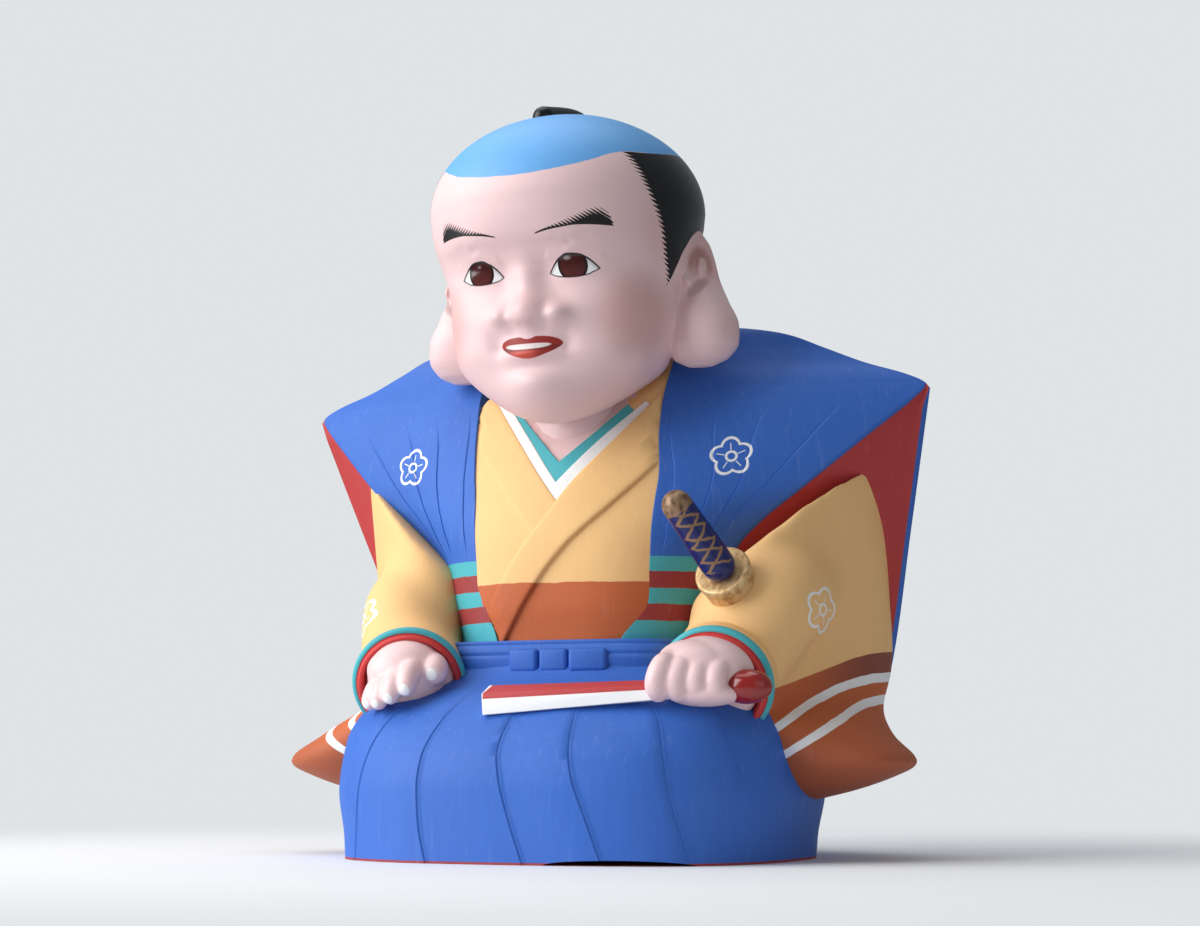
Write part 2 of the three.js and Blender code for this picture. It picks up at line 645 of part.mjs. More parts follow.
// A turned piece from [radius, height] pairs, stood at foot and leaned along way.
function turnedPiece(pairs, columns, way, foot = guardCentre) {
  const corners = pairs.map(([radius, height]) => new THREE.Vector2(radius, height));
  const geometry = new THREE.LatheGeometry(corners, columns);
  geometry.rotateX(Math.PI / 2);
  geometry.applyQuaternion(new THREE.Quaternion().setFromUnitVectors(up, way));
  geometry.translate(foot.x, foot.y, foot.z);
  return geometry;
}

// The [radius, height] pairs of a quarter round from the rim at height up to the axis.
function roundEnd(radius, height, steps) {
  const pairs = [];
  for (let i = 1; i <= steps; i++) {
    const angle = (Math.PI / 2) * (i / steps);
    pairs.push([i < steps ? radius * Math.cos(angle) : 0, height + radius * Math.sin(angle)]);
  }
  return pairs;
}

function swordParts() {
  const half = guardThickness / 2;
  const capRadius = 0.9 * gripRadius;
  const foot = guardCentre.clone().addScaledVector(guardWay, gripRadius - half / 2);
  const under = roundEnd(gripRadius, 0, 3).reverse().map(([radius, height]) => [radius, -height]);
  const shaft = [[gripRadius, 0], [gripRadius, 0.3 * gripLength], [capRadius, gripLength]];
  const outlineOfGrip = [...under, ...shaft, ...roundEnd(capRadius, gripLength, 3)];
  const grip = turnedPiece(outlineOfGrip, 14, gripWay, foot);
  const disc = [[0, -half], [guardRadius - 1, -half], [guardRadius, 0], [guardRadius - 1, half], [0, half]];
  const peg = [[0, -pegLength], [pegRadius, -pegLength], [pegRadius, 0], [0, 0]];
  return [grip, turnedPiece(disc, 20, guardWay), turnedPiece(peg, 12, guardWay)];
}

// The seat that the sword stands on, and the socket for its peg.
function swordSeat() {
  const seatRadius = 0.93 * guardRadius;
  const top = -guardThickness / 2 - pegClearance;
  const root = -pegLength - 9 * share;
  return turnedPiece([[0, root], [seatRadius, root], [seatRadius, top], [0, top]], 14, guardWay);
}

function swordSocket() {
  const radius = pegRadius + pegClearance;
  const depth = -pegLength - pegClearance;
  const top = 2 * guardRadius;
  return turnedPiece([[0, depth], [radius, depth], [radius, top], [0, top]], 12, guardWay);
}

// All geometries of a list joined into one solid.
function joined(geometries) {
  return wasm.Manifold.union(geometries.map(solidOf));
}

function figure() {
  const headForms = [skull(), ...noseAndLips(), ear(1), ear(-1), topknot()];
  const head = joined(headForms).subtract(joined([earHollow(1), earHollow(-1)]));
  const placedHead = head
    .translate([0, -headMiddleY, 0])
    .rotate([0, 0, headTurn])
    .translate([0, headMiddleY, 0]);
  const neck = ovalBall([-2, -1, 168], [22, 24, 26]);
  const robe = [mantle(), chest(), ...collars(), sleeveBag(1), sleeveBag(-1)];
  const hands = [...openHand(), ...closedHand(), ...fan()];
  const armpits = [1, -1].map((side) => ovalBall([side * 50, -7, 92], [9, 11, 20]));
  const arms = [...armpits, forearm(rightArm), forearm(leftArm), ...hands];
  const body = joined([hakama(), ...belt(), neck, ...robe, ...arms, swordSeat()]);
  return body.add(placedHead).subtract(joined([archUnderHem(), swordSocket()]));
}

// A solid as a named, painted mesh.
function meshOf(name, solid, paint) {
  const { vertProperties, triVerts, numProp } = solid.getMesh();
  const geometry = new THREE.BufferGeometry();
  const corners = new Float32Array((vertProperties.length / numProp) * 3);
  for (let i = 0; i < corners.length / 3; i++) {
    corners.set(vertProperties.subarray(i * numProp, i * numProp + 3), 3 * i);
  }
  geometry.setAttribute("position", new THREE.BufferAttribute(corners, 3));
  geometry.setIndex(new THREE.BufferAttribute(triVerts, 1));
  geometry.computeVertexNormals();
  const mesh = new THREE.Mesh(geometry, new THREE.MeshStandardMaterial(paint));
  mesh.name = name;
  return mesh;
}

const robePaint = { color: 0x2b53b8, roughness: 0.55, metalness: 0 };
const hiltPaint = { color: 0x1a2460, roughness: 0.4, metalness: 0 };

const doll = new THREE.Group();
doll.name = "hakata_doll";
doll.add(meshOf("figure", figure(), robePaint));
doll.add(meshOf("short_sword", joined(swordParts()), hiltPaint));

export default doll;
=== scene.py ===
"""A moulded and painted clay figure of a kneeling man in formal dress, with a short sword of its own.

The forms are drawn in shares: one share is a 292.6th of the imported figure's height, about a millimetre.
They face -Y, their left side is +X, and each is turned into metres as its mesh is made.
"""

import logging
import math
from dataclasses import dataclass, field
from enum import IntEnum
from typing import Callable, Sequence

import bmesh
import bpy
import numpy as np
from mathutils import Matrix, Vector

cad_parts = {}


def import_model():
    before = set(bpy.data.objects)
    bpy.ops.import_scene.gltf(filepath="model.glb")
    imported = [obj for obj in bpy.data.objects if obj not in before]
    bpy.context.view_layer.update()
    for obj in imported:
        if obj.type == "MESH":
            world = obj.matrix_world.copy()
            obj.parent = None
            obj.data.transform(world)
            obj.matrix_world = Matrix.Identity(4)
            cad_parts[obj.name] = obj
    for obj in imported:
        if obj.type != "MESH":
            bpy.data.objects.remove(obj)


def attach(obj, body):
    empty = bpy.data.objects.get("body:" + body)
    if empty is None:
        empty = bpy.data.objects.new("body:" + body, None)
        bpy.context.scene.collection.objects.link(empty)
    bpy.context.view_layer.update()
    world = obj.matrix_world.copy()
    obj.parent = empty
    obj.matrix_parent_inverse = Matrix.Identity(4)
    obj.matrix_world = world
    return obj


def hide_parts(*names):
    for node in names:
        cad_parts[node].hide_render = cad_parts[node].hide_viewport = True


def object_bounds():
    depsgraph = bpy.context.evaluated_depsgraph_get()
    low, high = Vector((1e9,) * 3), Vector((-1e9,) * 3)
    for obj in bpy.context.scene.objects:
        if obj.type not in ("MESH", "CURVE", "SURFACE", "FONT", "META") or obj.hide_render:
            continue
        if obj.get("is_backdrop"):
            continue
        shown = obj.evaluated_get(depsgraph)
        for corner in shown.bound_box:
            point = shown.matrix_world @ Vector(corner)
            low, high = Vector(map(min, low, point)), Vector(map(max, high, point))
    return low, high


LOG = logging.getLogger("doll")

Array = np.ndarray
Pairs = Sequence[tuple[float, float]]
Curve = Callable[[Array], Array]
Ring = Callable[[Array, Array], Array]
Colour = tuple[int, int, int]
Piece = bpy.types.Object
Material = bpy.types.Material

SHARES_TALL = 292.6
WAIST = 82.0
BELT_HEIGHT = 12.0
PANEL_FOOT = 54.0
WING_TIP = 181.0
WING_REACH = 133.0
SHOULDER = 206.4
PANEL_THICKNESS = 2.4
HEM_WIDTH = 177.0
HEM_DEPTH = 166.0
HEAD_WIDTH = 108.0
HEAD_DEPTH = 101.0
HEAD_MIDDLE_Y = -27.0
HEAD_TURN = -3.0
FACE_SHIFT = 1.3
CHIN = 163.0
JAW = 190.0
BROW = 248.0
CROWN = 287.0
FACE_END_Y = -30.0
FAN_LENGTH = 90.0
FAN_TIP_X = -13.0
BACK_COLUMNS = 20
LINING_COLUMNS = 5
HOLLOW_ANGLE = -0.5
LIMB_UP = (0.31, 0.9, 0.3)
SEEN_X, SEEN_Y = 0.924, 0.383
PALE_STROKE = (205, 216, 236)
PALE_SPECK = (200, 208, 228)


class Paint(IntEnum):
    """The doll's paints, in the order of its material slots."""

    HAKAMA = 0
    MANTLE = 1
    LINING = 2
    ROBE = 3
    SLEEVE = 4
    TEAL = 5
    RED = 6
    WHITE = 7
    SKIN = 8
    HEAD = 9
    FAN = 10
    LACQUER = 11
    GOLD = 12
    NAVY = 13
    HAIR = 14


def rise(value: Array, low: float, high: float) -> Array:
    """A smooth rise from 0 to 1 as value goes from low to high."""
    t = np.clip((value - low) / (high - low), 0, 1)
    return t * t * (3 - 2 * t)


def bell(distance: Array, half_width: float) -> Array:
    """A bell of height 1 and the given half width."""
    return np.exp(-((distance / half_width) ** 2))


def soft_min(a: Array, b: Array, rounding: float) -> Array:
    """The smaller of two values, with the corner between them rounded over."""
    t = np.maximum(0, rounding - np.abs(a - b)) / rounding
    return np.minimum(a, b) - t * t * rounding / 4


def profile(pairs: Pairs) -> Curve:
    """A monotone curve through pairs in rising order of place.

    Args:
        pairs: The (place, value) pairs.

    Returns:
        A function that gives the value at each place of an array.
    """
    places, values = np.array(pairs, float).T
    slopes = np.diff(values) / np.diff(places)
    before, after = slopes[:-1], slopes[1:]
    total = np.where(before * after > 0, before + after, 1)
    middle = np.where(before * after > 0, 2 * before * after / total, 0)
    tangents = np.concatenate([slopes[:1], middle, slopes[-1:]])

    def value_at(place: Array) -> Array:
        held = np.clip(np.asarray(place, float), places[0], places[-1])
        i = np.clip(np.searchsorted(places, held, side="right") - 1, 0, len(places) - 2)
        span = places[i + 1] - places[i]
        t = (held - places[i]) / span
        blend = t * t * (3 - 2 * t)
        lean = t * (1 - t) * span * ((1 - t) * tangents[i] - t * tangents[i + 1])
        return values[i] * (1 - blend) + values[i + 1] * blend + lean

    return value_at


def shape(*pairs: tuple[float, float]) -> staticmethod:
    """A profile that a class keeps as its own function."""
    return staticmethod(profile(pairs))


def evenly(values: Sequence[float]) -> Curve:
    """A profile through values that are evenly spread from 0 to 1."""
    return profile([(i / (len(values) - 1), value) for i, value in enumerate(values)])


def rounded_ring(angle: Array, half_width: Array, half_depth: Array, power: Array) -> tuple[Array, Array]:
    """Points of a superellipse; the angle starts at the front, -Y, and turns towards +X.

    Args:
        angle: Angles in radians.
        half_width: Half sizes along X.
        half_depth: Half sizes along Y.
        power: 2 gives an ellipse, more gives squarer corners.

    Returns:
        The x and y of each point.
    """
    s, c = np.sin(angle), np.cos(angle)
    x = np.sign(s) * np.abs(s) ** (2 / power) * half_width
    y = -np.sign(c) * np.abs(c) ** (2 / power) * half_depth
    return x, y


def route(points: Sequence[Sequence[float]], samples: int = 400) -> Callable[[Array], tuple[Array, Array]]:
    """A smooth curve through points, read by its length.

    Args:
        points: The places that the curve passes.
        samples: How many short chords stand for it.

    Returns:
        A function that takes places from 0 to 1 along the curve and gives points and directions there.
    """
    corners = np.array(points, float)
    chords = np.sqrt(np.linalg.norm(np.diff(corners, axis=0), axis=1))
    knots = np.concatenate([[0], np.cumsum(chords)])
    fine = np.linspace(0, knots[-1], samples)
    tangents = np.gradient(corners, knots, axis=0)
    i = np.clip(np.searchsorted(knots, fine, side="right") - 1, 0, len(knots) - 2)
    span = (knots[i + 1] - knots[i])[:, None]
    t = ((fine - knots[i]) / (knots[i + 1] - knots[i]))[:, None]
    line = (
        corners[i] * (1 + 2 * t) * (1 - t) ** 2
        + corners[i + 1] * t * t * (3 - 2 * t)
        + tangents[i] * span * t * (1 - t) ** 2
        - tangents[i + 1] * span * t * t * (1 - t)
    )
    run = np.concatenate([[0], np.cumsum(np.linalg.norm(np.diff(line, axis=0), axis=1))])
    ways = np.gradient(line, run, axis=0)
    ways /= np.linalg.norm(ways, axis=1)[:, None]

    def at(along: Array) -> tuple[Array, Array]:
        length = np.asarray(along, float) * run[-1]
        place = np.stack([np.interp(length, run, line[:, k]) for k in range(3)], axis=1)
        way = np.stack([np.interp(length, run, ways[:, k]) for k in range(3)], axis=1)
        return place, way / np.linalg.norm(way, axis=1)[:, None]

    return at


def around(way: Array, up: Sequence[float], turn: Array) -> Array:
    """The directions that look out of a curve, for its own direction and a turn from 0 to 1."""
    across = np.cross(way, up)
    across /= np.linalg.norm(across, axis=1)[:, None]
    over = np.cross(across, way)
    angle = 2 * np.pi * turn
    return across * np.cos(angle)[:, None] - over * np.sin(angle)[:, None]


def lean_to(way: Vector) -> Matrix:
    """The rotation that leans +Z along way."""
    return Vector((0, 0, 1)).rotation_difference(way.normalized()).to_matrix()


def move(bm: bmesh.types.BMesh, place: Sequence[float], *turns: Matrix) -> None:
    """Turns a bmesh about the origin, and then moves it to a place."""
    for turn in turns:
        bmesh.ops.rotate(bm, cent=(0, 0, 0), matrix=turn, verts=bm.verts)
    bmesh.ops.translate(bm, vec=place, verts=bm.verts)


def round_edges(bm: bmesh.types.BMesh, radius: float, segments: int) -> None:
    """Rounds every edge of a bmesh."""
    edges = bm.edges[:]
    bmesh.ops.bevel(
        bm, geom=edges, offset=radius, segments=segments, profile=0.5, affect="EDGES", material=-1
    )


def triangle_count(piece: Piece) -> int:
    """How many triangles a piece's faces make."""
    return sum(len(polygon.vertices) - 2 for polygon in piece.data.polygons)


@dataclass
class Easing:
    """A round place that is smoothed more than the rest, in shares."""

    centre: tuple[float, float, float]
    radius: float
    passes: int

    def weight(self, place: Vector) -> float:
        """How strongly a place is smoothed: 1 inside, falling to 0 at the radius."""
        away = (place - Vector(self.centre)).length / self.radius
        return float(np.clip((1 - away) * 3, 0, 1))


@dataclass
class Workshop:
    """Makes meshes in metres from forms drawn in shares.

    Attributes:
        share: Metres in one share.
        paints: The materials of every mesh, in the order of the paints.
    """

    share: float
    paints: list[Material] = field(default_factory=list)

    def object_of(self, name: str, bm: bmesh.types.BMesh, paint: int | None = None) -> Piece:
        """A closed object of a bmesh drawn in shares, faces outwards, in one paint if that is given."""
        if paint is not None:
            for face in bm.faces:
                face.material_index = int(paint)
        bmesh.ops.recalc_face_normals(bm, faces=bm.faces)
        if bm.calc_volume(signed=True) < 0:
            bmesh.ops.reverse_faces(bm, faces=bm.faces)
        bmesh.ops.scale(bm, vec=(self.share,) * 3, verts=bm.verts)
        mesh = bpy.data.meshes.new(name)
        bm.to_mesh(mesh)
        bm.free()
        for paint in self.paints:
            mesh.materials.append(paint)
        piece = bpy.data.objects.new(name, mesh)
        bpy.context.scene.collection.objects.link(piece)
        return piece

    def loft(
        self,
        name: str,
        columns: int,
        levels: int,
        ring: Ring,
        paint: int | Callable[[float, float], int],
    ) -> Piece:
        """A closed tube of rings with a cap at each end.

        Args:
            name: The form's name.
            columns: Faces around.
            levels: Faces along.
            ring: Gives the points of levels from 0 to 1 and turns from 0 to 1.
            paint: The paint's slot, or a function that gives it for a level and a turn.

        Returns:
            The form as an object.
        """
        bm = bmesh.new()
        bmesh.ops.create_grid(bm, x_segments=columns, y_segments=levels, size=0.5)
        for face in bm.faces:
            middle = face.calc_center_median()
            face.material_index = int(paint(middle.y + 0.5, middle.x + 0.5) if callable(paint) else paint)
        turn = np.array([vert.co.x + 0.5 for vert in bm.verts])
        level = np.array([vert.co.y + 0.5 for vert in bm.verts])
        seam = [vert for vert, place in zip(bm.verts, turn) if place < 1e-5 or place > 1 - 1e-5]
        for vert, point in zip(bm.verts, ring(np.clip(level, 0, 1), np.clip(turn, 0, 1))):
            vert.co = point
        bmesh.ops.remove_doubles(bm, verts=seam, dist=1e-4)
        ends = [edge for edge in bm.edges if edge.is_boundary]
        caps = bmesh.ops.holes_fill(bm, edges=ends, sides=0)["faces"]
        for cap in caps:
            neighbour = next(face for edge in cap.edges for face in edge.link_faces if face is not cap)
            cap.material_index = neighbour.material_index
        bmesh.ops.poke(bm, faces=caps)
        return self.object_of(name, bm)

    def oval(
        self,
        name: str,
        centre: Sequence[float],
        half_axes: Sequence[float],
        paint: int,
        way: Sequence[float] = (0, 0, 1),
        detail: int = 32,
    ) -> Piece:
        """A ball stretched to three half axes, with its own Z leaned along way."""
        bm = bmesh.new()
        bmesh.ops.create_uvsphere(bm, u_segments=detail, v_segments=detail // 2, radius=1)
        bmesh.ops.scale(bm, vec=half_axes, verts=bm.verts)
        move(bm, centre, lean_to(Vector(way)))
        return self.object_of(name, bm, paint)

    def limb(
        self,
        name: str,
        points: Sequence[Sequence[float]],
        radii: Sequence[float],
        paint: int,
        columns: int = 20,
        levels: int = 28,
    ) -> Piece:
        """A round limb along a curve through points, with a radius at each and rounded ends."""
        path = route(points)
        thickness = evenly(radii)
        chord = path(np.linspace(0, 1, 200))[0]
        length = float(np.linalg.norm(np.diff(chord, axis=0), axis=1).sum())

        def ring(level: Array, turn: Array) -> Array:
            along = (1 - np.cos(np.pi * level)) / 2
            place, way = path(along)
            from_end = np.minimum(along, 1 - along) * length
            radius = thickness(along)
            rounding = np.sqrt(np.clip(1 - (1 - np.minimum(from_end / radius, 1)) ** 2, 0.004, 1))
            return place + around(way, LIMB_UP, turn) * (radius * rounding)[:, None]

        return self.loft(name, columns, levels, ring, paint)

    def turned(
        self,
        name: str,
        outline: Pairs,
        way: Vector,
        foot: Vector,
        paint: int | Callable[[float], int],
        steps: int = 48,
    ) -> Piece:
        """A turned piece.

        Args:
            name: The piece's name.
            outline: (radius, height) pairs that start and end on the axis.
            way: Its axis.
            foot: Where height 0 stands.
            paint: The paint's slot, or a function that gives it for a height.
            steps: Faces around.

        Returns:
            The closed piece.
        """
        bm = bmesh.new()
        verts = [bm.verts.new((radius, 0, height)) for radius, height in outline]
        edges = [bm.edges.new(pair) for pair in zip(verts, verts[1:])]
        whole = {"angle": 2 * math.pi, "steps": steps, "use_merge": True}
        bmesh.ops.spin(bm, geom=verts + edges, cent=(0, 0, 0), axis=(0, 0, 1), **whole)
        bmesh.ops.remove_doubles(bm, verts=bm.verts, dist=1e-4)
        for face in bm.faces:
            height = face.calc_center_median().z
            face.material_index = int(paint(height) if callable(paint) else paint)
        move(bm, foot, lean_to(way))
        return self.object_of(name, bm)

    def joined(
        self, name: str, forms: list[Piece], cuts: Sequence[Piece] = ()
    ) -> Piece:
        """All forms joined into one closed solid, less the cuts; the forms themselves go."""
        base, others = forms[0], forms[1:]
        for tool, operation in [(form, "UNION") for form in others] + [(cut, "DIFFERENCE") for cut in cuts]:
            settings = {"operation": operation, "solver": "MANIFOLD", "material_mode": "INDEX"}
            self.modify(base, "BOOLEAN", object=tool, **settings)
        self.apply_modifiers(base)
        for tool in [*others, *cuts]:
            bpy.data.objects.remove(tool)
        base.name = name
        base.data.name = name
        return base

    def modify(self, piece: Piece, kind: str, **settings: object) -> None:
        """Gives a piece one more modifier with these settings."""
        modifier = piece.modifiers.new(kind.lower(), kind)
        for name, value in settings.items():
            setattr(modifier, name, value)

    def apply_modifiers(self, piece: Piece) -> None:
        """Replaces a piece's mesh with what its modifiers make of it."""
        graph = bpy.context.evaluated_depsgraph_get()
        shaped = bpy.data.meshes.new_from_object(piece.evaluated_get(graph))
        piece.modifiers.clear()
        piece.data = shaped

    def softened(
        self,
        piece: Piece,
        voxel: float,
        triangles: int,
        passes: int = 4,
        easing: Easing | None = None,
    ) -> Piece:
        """A piece run together into one soft skin.

        Args:
            piece: A closed piece of one paint.
            voxel: The size of the skin's cells, in shares.
            triangles: About how many triangles it keeps.
            passes: How often it is smoothed.
            easing: A place where it is smoothed far more, and how far that reaches.

        Returns:
            The same piece.
        """
        paint = piece.data.polygons[0].material_index
        self.modify(piece, "REMESH", mode="VOXEL", voxel_size=voxel * self.share)
        self.apply_modifiers(piece)
        if easing:
            group = piece.vertex_groups.new(name="eased")
            for vert in piece.data.vertices:
                group.add([vert.index], easing.weight(vert.co / self.share), "REPLACE")
            self.modify(piece, "SMOOTH", iterations=easing.passes, factor=0.5, vertex_group="eased")
        self.modify(piece, "SMOOTH", iterations=passes, factor=0.5)
        self.apply_modifiers(piece)
        count = triangle_count(piece)
        if count > triangles:
            self.modify(piece, "DECIMATE", ratio=triangles / count)
            self.apply_modifiers(piece)
        for polygon in piece.data.polygons:
            polygon.material_index = paint
        return piece

    def thumbed(
        self, piece: Piece, lowest: float, highest: float, rings: int, passes: int
    ) -> None:
        """Runs the parts of a piece into each other along their hollow seams.

        Args:
            piece: A closed piece.
            lowest: The lowest height of the seams, in shares.
            highest: Their highest height.
            rings: How many rings of vertices on each side move.
            passes: How often they are smoothed.
        """
        bm = bmesh.new()
        bm.from_mesh(piece.data)

        def held(vert: bmesh.types.BMVert) -> bool:
            return not lowest < vert.co.z / self.share < highest

        moving = set()
        for edge in bm.edges:
            if edge.calc_face_angle_signed(0) < HOLLOW_ANGLE:
                moving.update(vert for vert in edge.verts if not held(vert))
        for _ in range(rings):
            near = {edge.other_vert(vert) for vert in moving for edge in vert.link_edges}
            moving.update(vert for vert in near if not held(vert))
        for _ in range(passes):
            bmesh.ops.smooth_vert(
                bm, verts=list(moving), factor=0.5, use_axis_x=True, use_axis_y=True, use_axis_z=True
            )
        bm.to_mesh(piece.data)
        bm.free()


@dataclass
class Hakama:
    """The pleated hakama over the knees and the lap.

    Attributes:
        shop: Makes the meshes.
        pleat_drop: How far the cloth steps back behind a pleat.
        groove: The depth of the cut line beside it.
        groove_width: The half width of that line.
        back_columns: Faces around the back.
        levels: Faces up the height.
    """

    shop: Workshop
    pleat_drop: float = 0.75
    groove: float = 0.6
    groove_width: float = 0.4
    back_columns: int = 44
    levels: int = 64

    half_width = shape(
        (0, 0.495), (0.1, 0.5), (0.3, 0.518), (0.5, 0.513), (0.7, 0.46), (0.86, 0.36), (1, 0.27),
    )
    front = shape(
        (0, 0.53), (0.3, 0.53), (0.5, 0.505), (0.66, 0.455), (0.8, 0.36), (0.92, 0.285), (1, 0.245),
    )
    back = shape((0, 0.47), (0.3, 0.47), (0.55, 0.45), (0.75, 0.4), (1, 0.34))
    squareness = shape((0, 3), (0.5, 2.8), (1, 2.2))
    valley = shape((0.45, 0), (0.6, 0.05), (0.68, 0.12), (0.795, 0.24), (0.9, 0.16), (1, 0.05))
    pleats = (
        profile([(0, -66), (20, -64), (36, -61), (52, -54), (70, -40), (88, -27)]),
        profile([(0, -30), (15, -33.3), (28, -34), (40, -33), (51, -29.5), (70, -21), (88, -14)]),
        profile([(0, 9), (16, 3.4), (31, -0.8), (42, -2.6), (54, -1), (70, 1), (88, 2)]),
        profile([(0, 38.5), (17.6, 32), (31, 27.2), (43, 24.4), (54, 23), (70, 19), (88, 14)]),
        profile([(0, 67), (23, 61), (38, 58), (50, 54.5), (57, 49), (70, 38), (88, 27)]),
        profile([(0, 86.2), (12, 85.8), (21, 84.4), (38, 79), (50, 74), (58, 69), (70, 55), (88, 40)]),
    )
    beside = (0.0, 0.3, 0.65, 1.1, 2.0)
    between = (0.12, 0.24, 0.37, 0.5, 0.63, 0.76, 0.88, 1.0)

    def front_columns(self, z: Array, width: Array) -> tuple[Array, Array]:
        """Where each column of the front runs.

        Args:
            z: The height of each point of one column set.
            width: The half width there.

        Returns:
            Arrays of shape (columns, points): the share of the half width, and the step back there.
        """
        lines = [-0.975 * width] + [pleat(z) for pleat in self.pleats] + [0.998 * width]
        across, depth = [], []
        for number, (start, end) in enumerate(zip(lines, lines[1:])):
            room = np.maximum(end - start, 0.6)
            small = np.minimum(1, room / 8)
            near = [start + small * out for out in self.beside]
            last = near[-1]
            stop = end - 0.65 * small
            far = [last + (stop - last) * part for part in self.between] + [end - 0.3 * small]
            for place in near + far:
                after, before = place - start, end - place
                step = rise(after, 0, 1) * (1 - rise(after / room, 0.05, 0.9)) * (number > 0)
                cut = bell(after, self.groove_width) * (number > 0)
                cut = cut + bell(before, self.groove_width) * (number < len(self.pleats))
                across.append(place / width)
                depth.append((step * self.pleat_drop + cut * self.groove) * small)
        corner = [np.full_like(z, -1), np.full_like(z, -0.995)]
        flat = [np.zeros_like(z)] * 2
        return np.array(corner + across + [np.ones_like(z)]), np.array(flat + depth + [np.zeros_like(z)])

    def build(self) -> list[Piece]:
        """The hakama's form."""
        lap_top, lap_end = WAIST + 6, WAIST - 3
        front_count = 3 + (len(self.pleats) + 1) * (len(self.beside) + len(self.between) + 1)
        columns = front_count + self.back_columns

        def ring(level: Array, turn: Array) -> Array:
            place = np.round(turn * columns).astype(int) % columns
            z = level * lap_end
            level = z / lap_top
            width = self.half_width(level) * HEM_WIDTH
            across, step = self.front_columns(z, width)
            row = np.minimum(place, front_count - 1)
            index = np.arange(len(z))
            part, back_step = across[row, index], step[row, index]
            power = self.squareness(level)
            depth = self.front(level) * HEM_DEPTH * np.maximum(0, 1 - np.abs(part) ** power) ** (1 / power)
            depth = depth * (1 - self.valley(level) * (1 - rise(np.abs(part * width), 40, 72)))
            held = (1 - rise(z, 56, 66)) * rise(depth, 0, 14)
            x_front, y_front = part * width, back_step * held - depth
            angle = np.pi / 2 + np.pi * (place - front_count + 1) / (self.back_columns + 1)
            x_back, y_back = rounded_ring(angle, width, self.back(level) * HEM_DEPTH, np.array(1.9))
            ahead = place < front_count
            return np.stack([np.where(ahead, x_front, x_back), np.where(ahead, y_front, y_back), z], axis=1)

        LOG.info("hakama: %d columns, %d levels", columns, self.levels)
        return [self.shop.loft("hakama", columns, self.levels, ring, Paint.HAKAMA)]

    def arch(self) -> Piece:
        """The low arch under the hem, between the knees."""
        bm = bmesh.new()
        bmesh.ops.create_cone(bm, cap_ends=True, segments=48, radius1=1, radius2=1, depth=1)
        bmesh.ops.rotate(bm, cent=(0, 0, 0), matrix=Matrix.Rotation(math.pi / 2, 3, "X"), verts=bm.verts)
        bmesh.ops.scale(bm, vec=(26, 60, 2), verts=bm.verts)
        move(bm, (42, -0.56 * HEM_DEPTH + 30, 0))
        return self.shop.object_of("arch", bm, Paint.RED)


@dataclass
class Belt:
    """The belt with its flat knot of three blocks."""

    shop: Workshop
    half_width: float = 52.0
    half_depth: float = 45.0
    squareness: float = 4.0
    blocks: tuple[tuple[float, float], ...] = ((-10.2, 11.6), (1.9, 11.3), (15.6, 14.6))

    def build(self) -> list[Piece]:
        """The band and the knot's blocks."""

        def ring(level: Array, turn: Array) -> Array:
            swell = 1 + 0.02 * np.sin(np.pi * level)
            laps = 0.45 * (bell(level - 0.55, 0.05) + bell(level - 0.86, 0.04))
            angle = 2 * np.pi * turn
            wide, deep = self.half_width * swell, self.half_depth * swell
            x, y = rounded_ring(angle, wide, deep, np.array(self.squareness))
            inward = 1 - laps / self.half_depth
            return np.stack([x * inward, y * inward + 2, WAIST - BELT_HEIGHT * (1 - level)], axis=1)

        forms = [self.shop.loft("belt", 120, 24, ring, Paint.HAKAMA)]
        middle = WAIST - 0.64 * BELT_HEIGHT
        for number, (x, width) in enumerate(self.blocks):
            forms.append(self.block(f"knot_{number}", x, width, middle))
        LOG.info("belt: band and %d blocks", len(self.blocks))
        return forms

    def block(self, name: str, x: float, width: float, middle: float) -> Piece:
        """One soft-edged block of the knot."""
        bm = bmesh.new()
        bmesh.ops.create_cube(bm, size=1)
        bmesh.ops.scale(bm, vec=(1.04 * width, 9, 0.74 * BELT_HEIGHT), verts=bm.verts)
        round_edges(bm, 1.7, 4)
        move(bm, (x, -41.2, middle), Matrix.Rotation(0.006 * x, 3, "Z"))
        return self.shop.object_of(name, bm, Paint.HAKAMA)


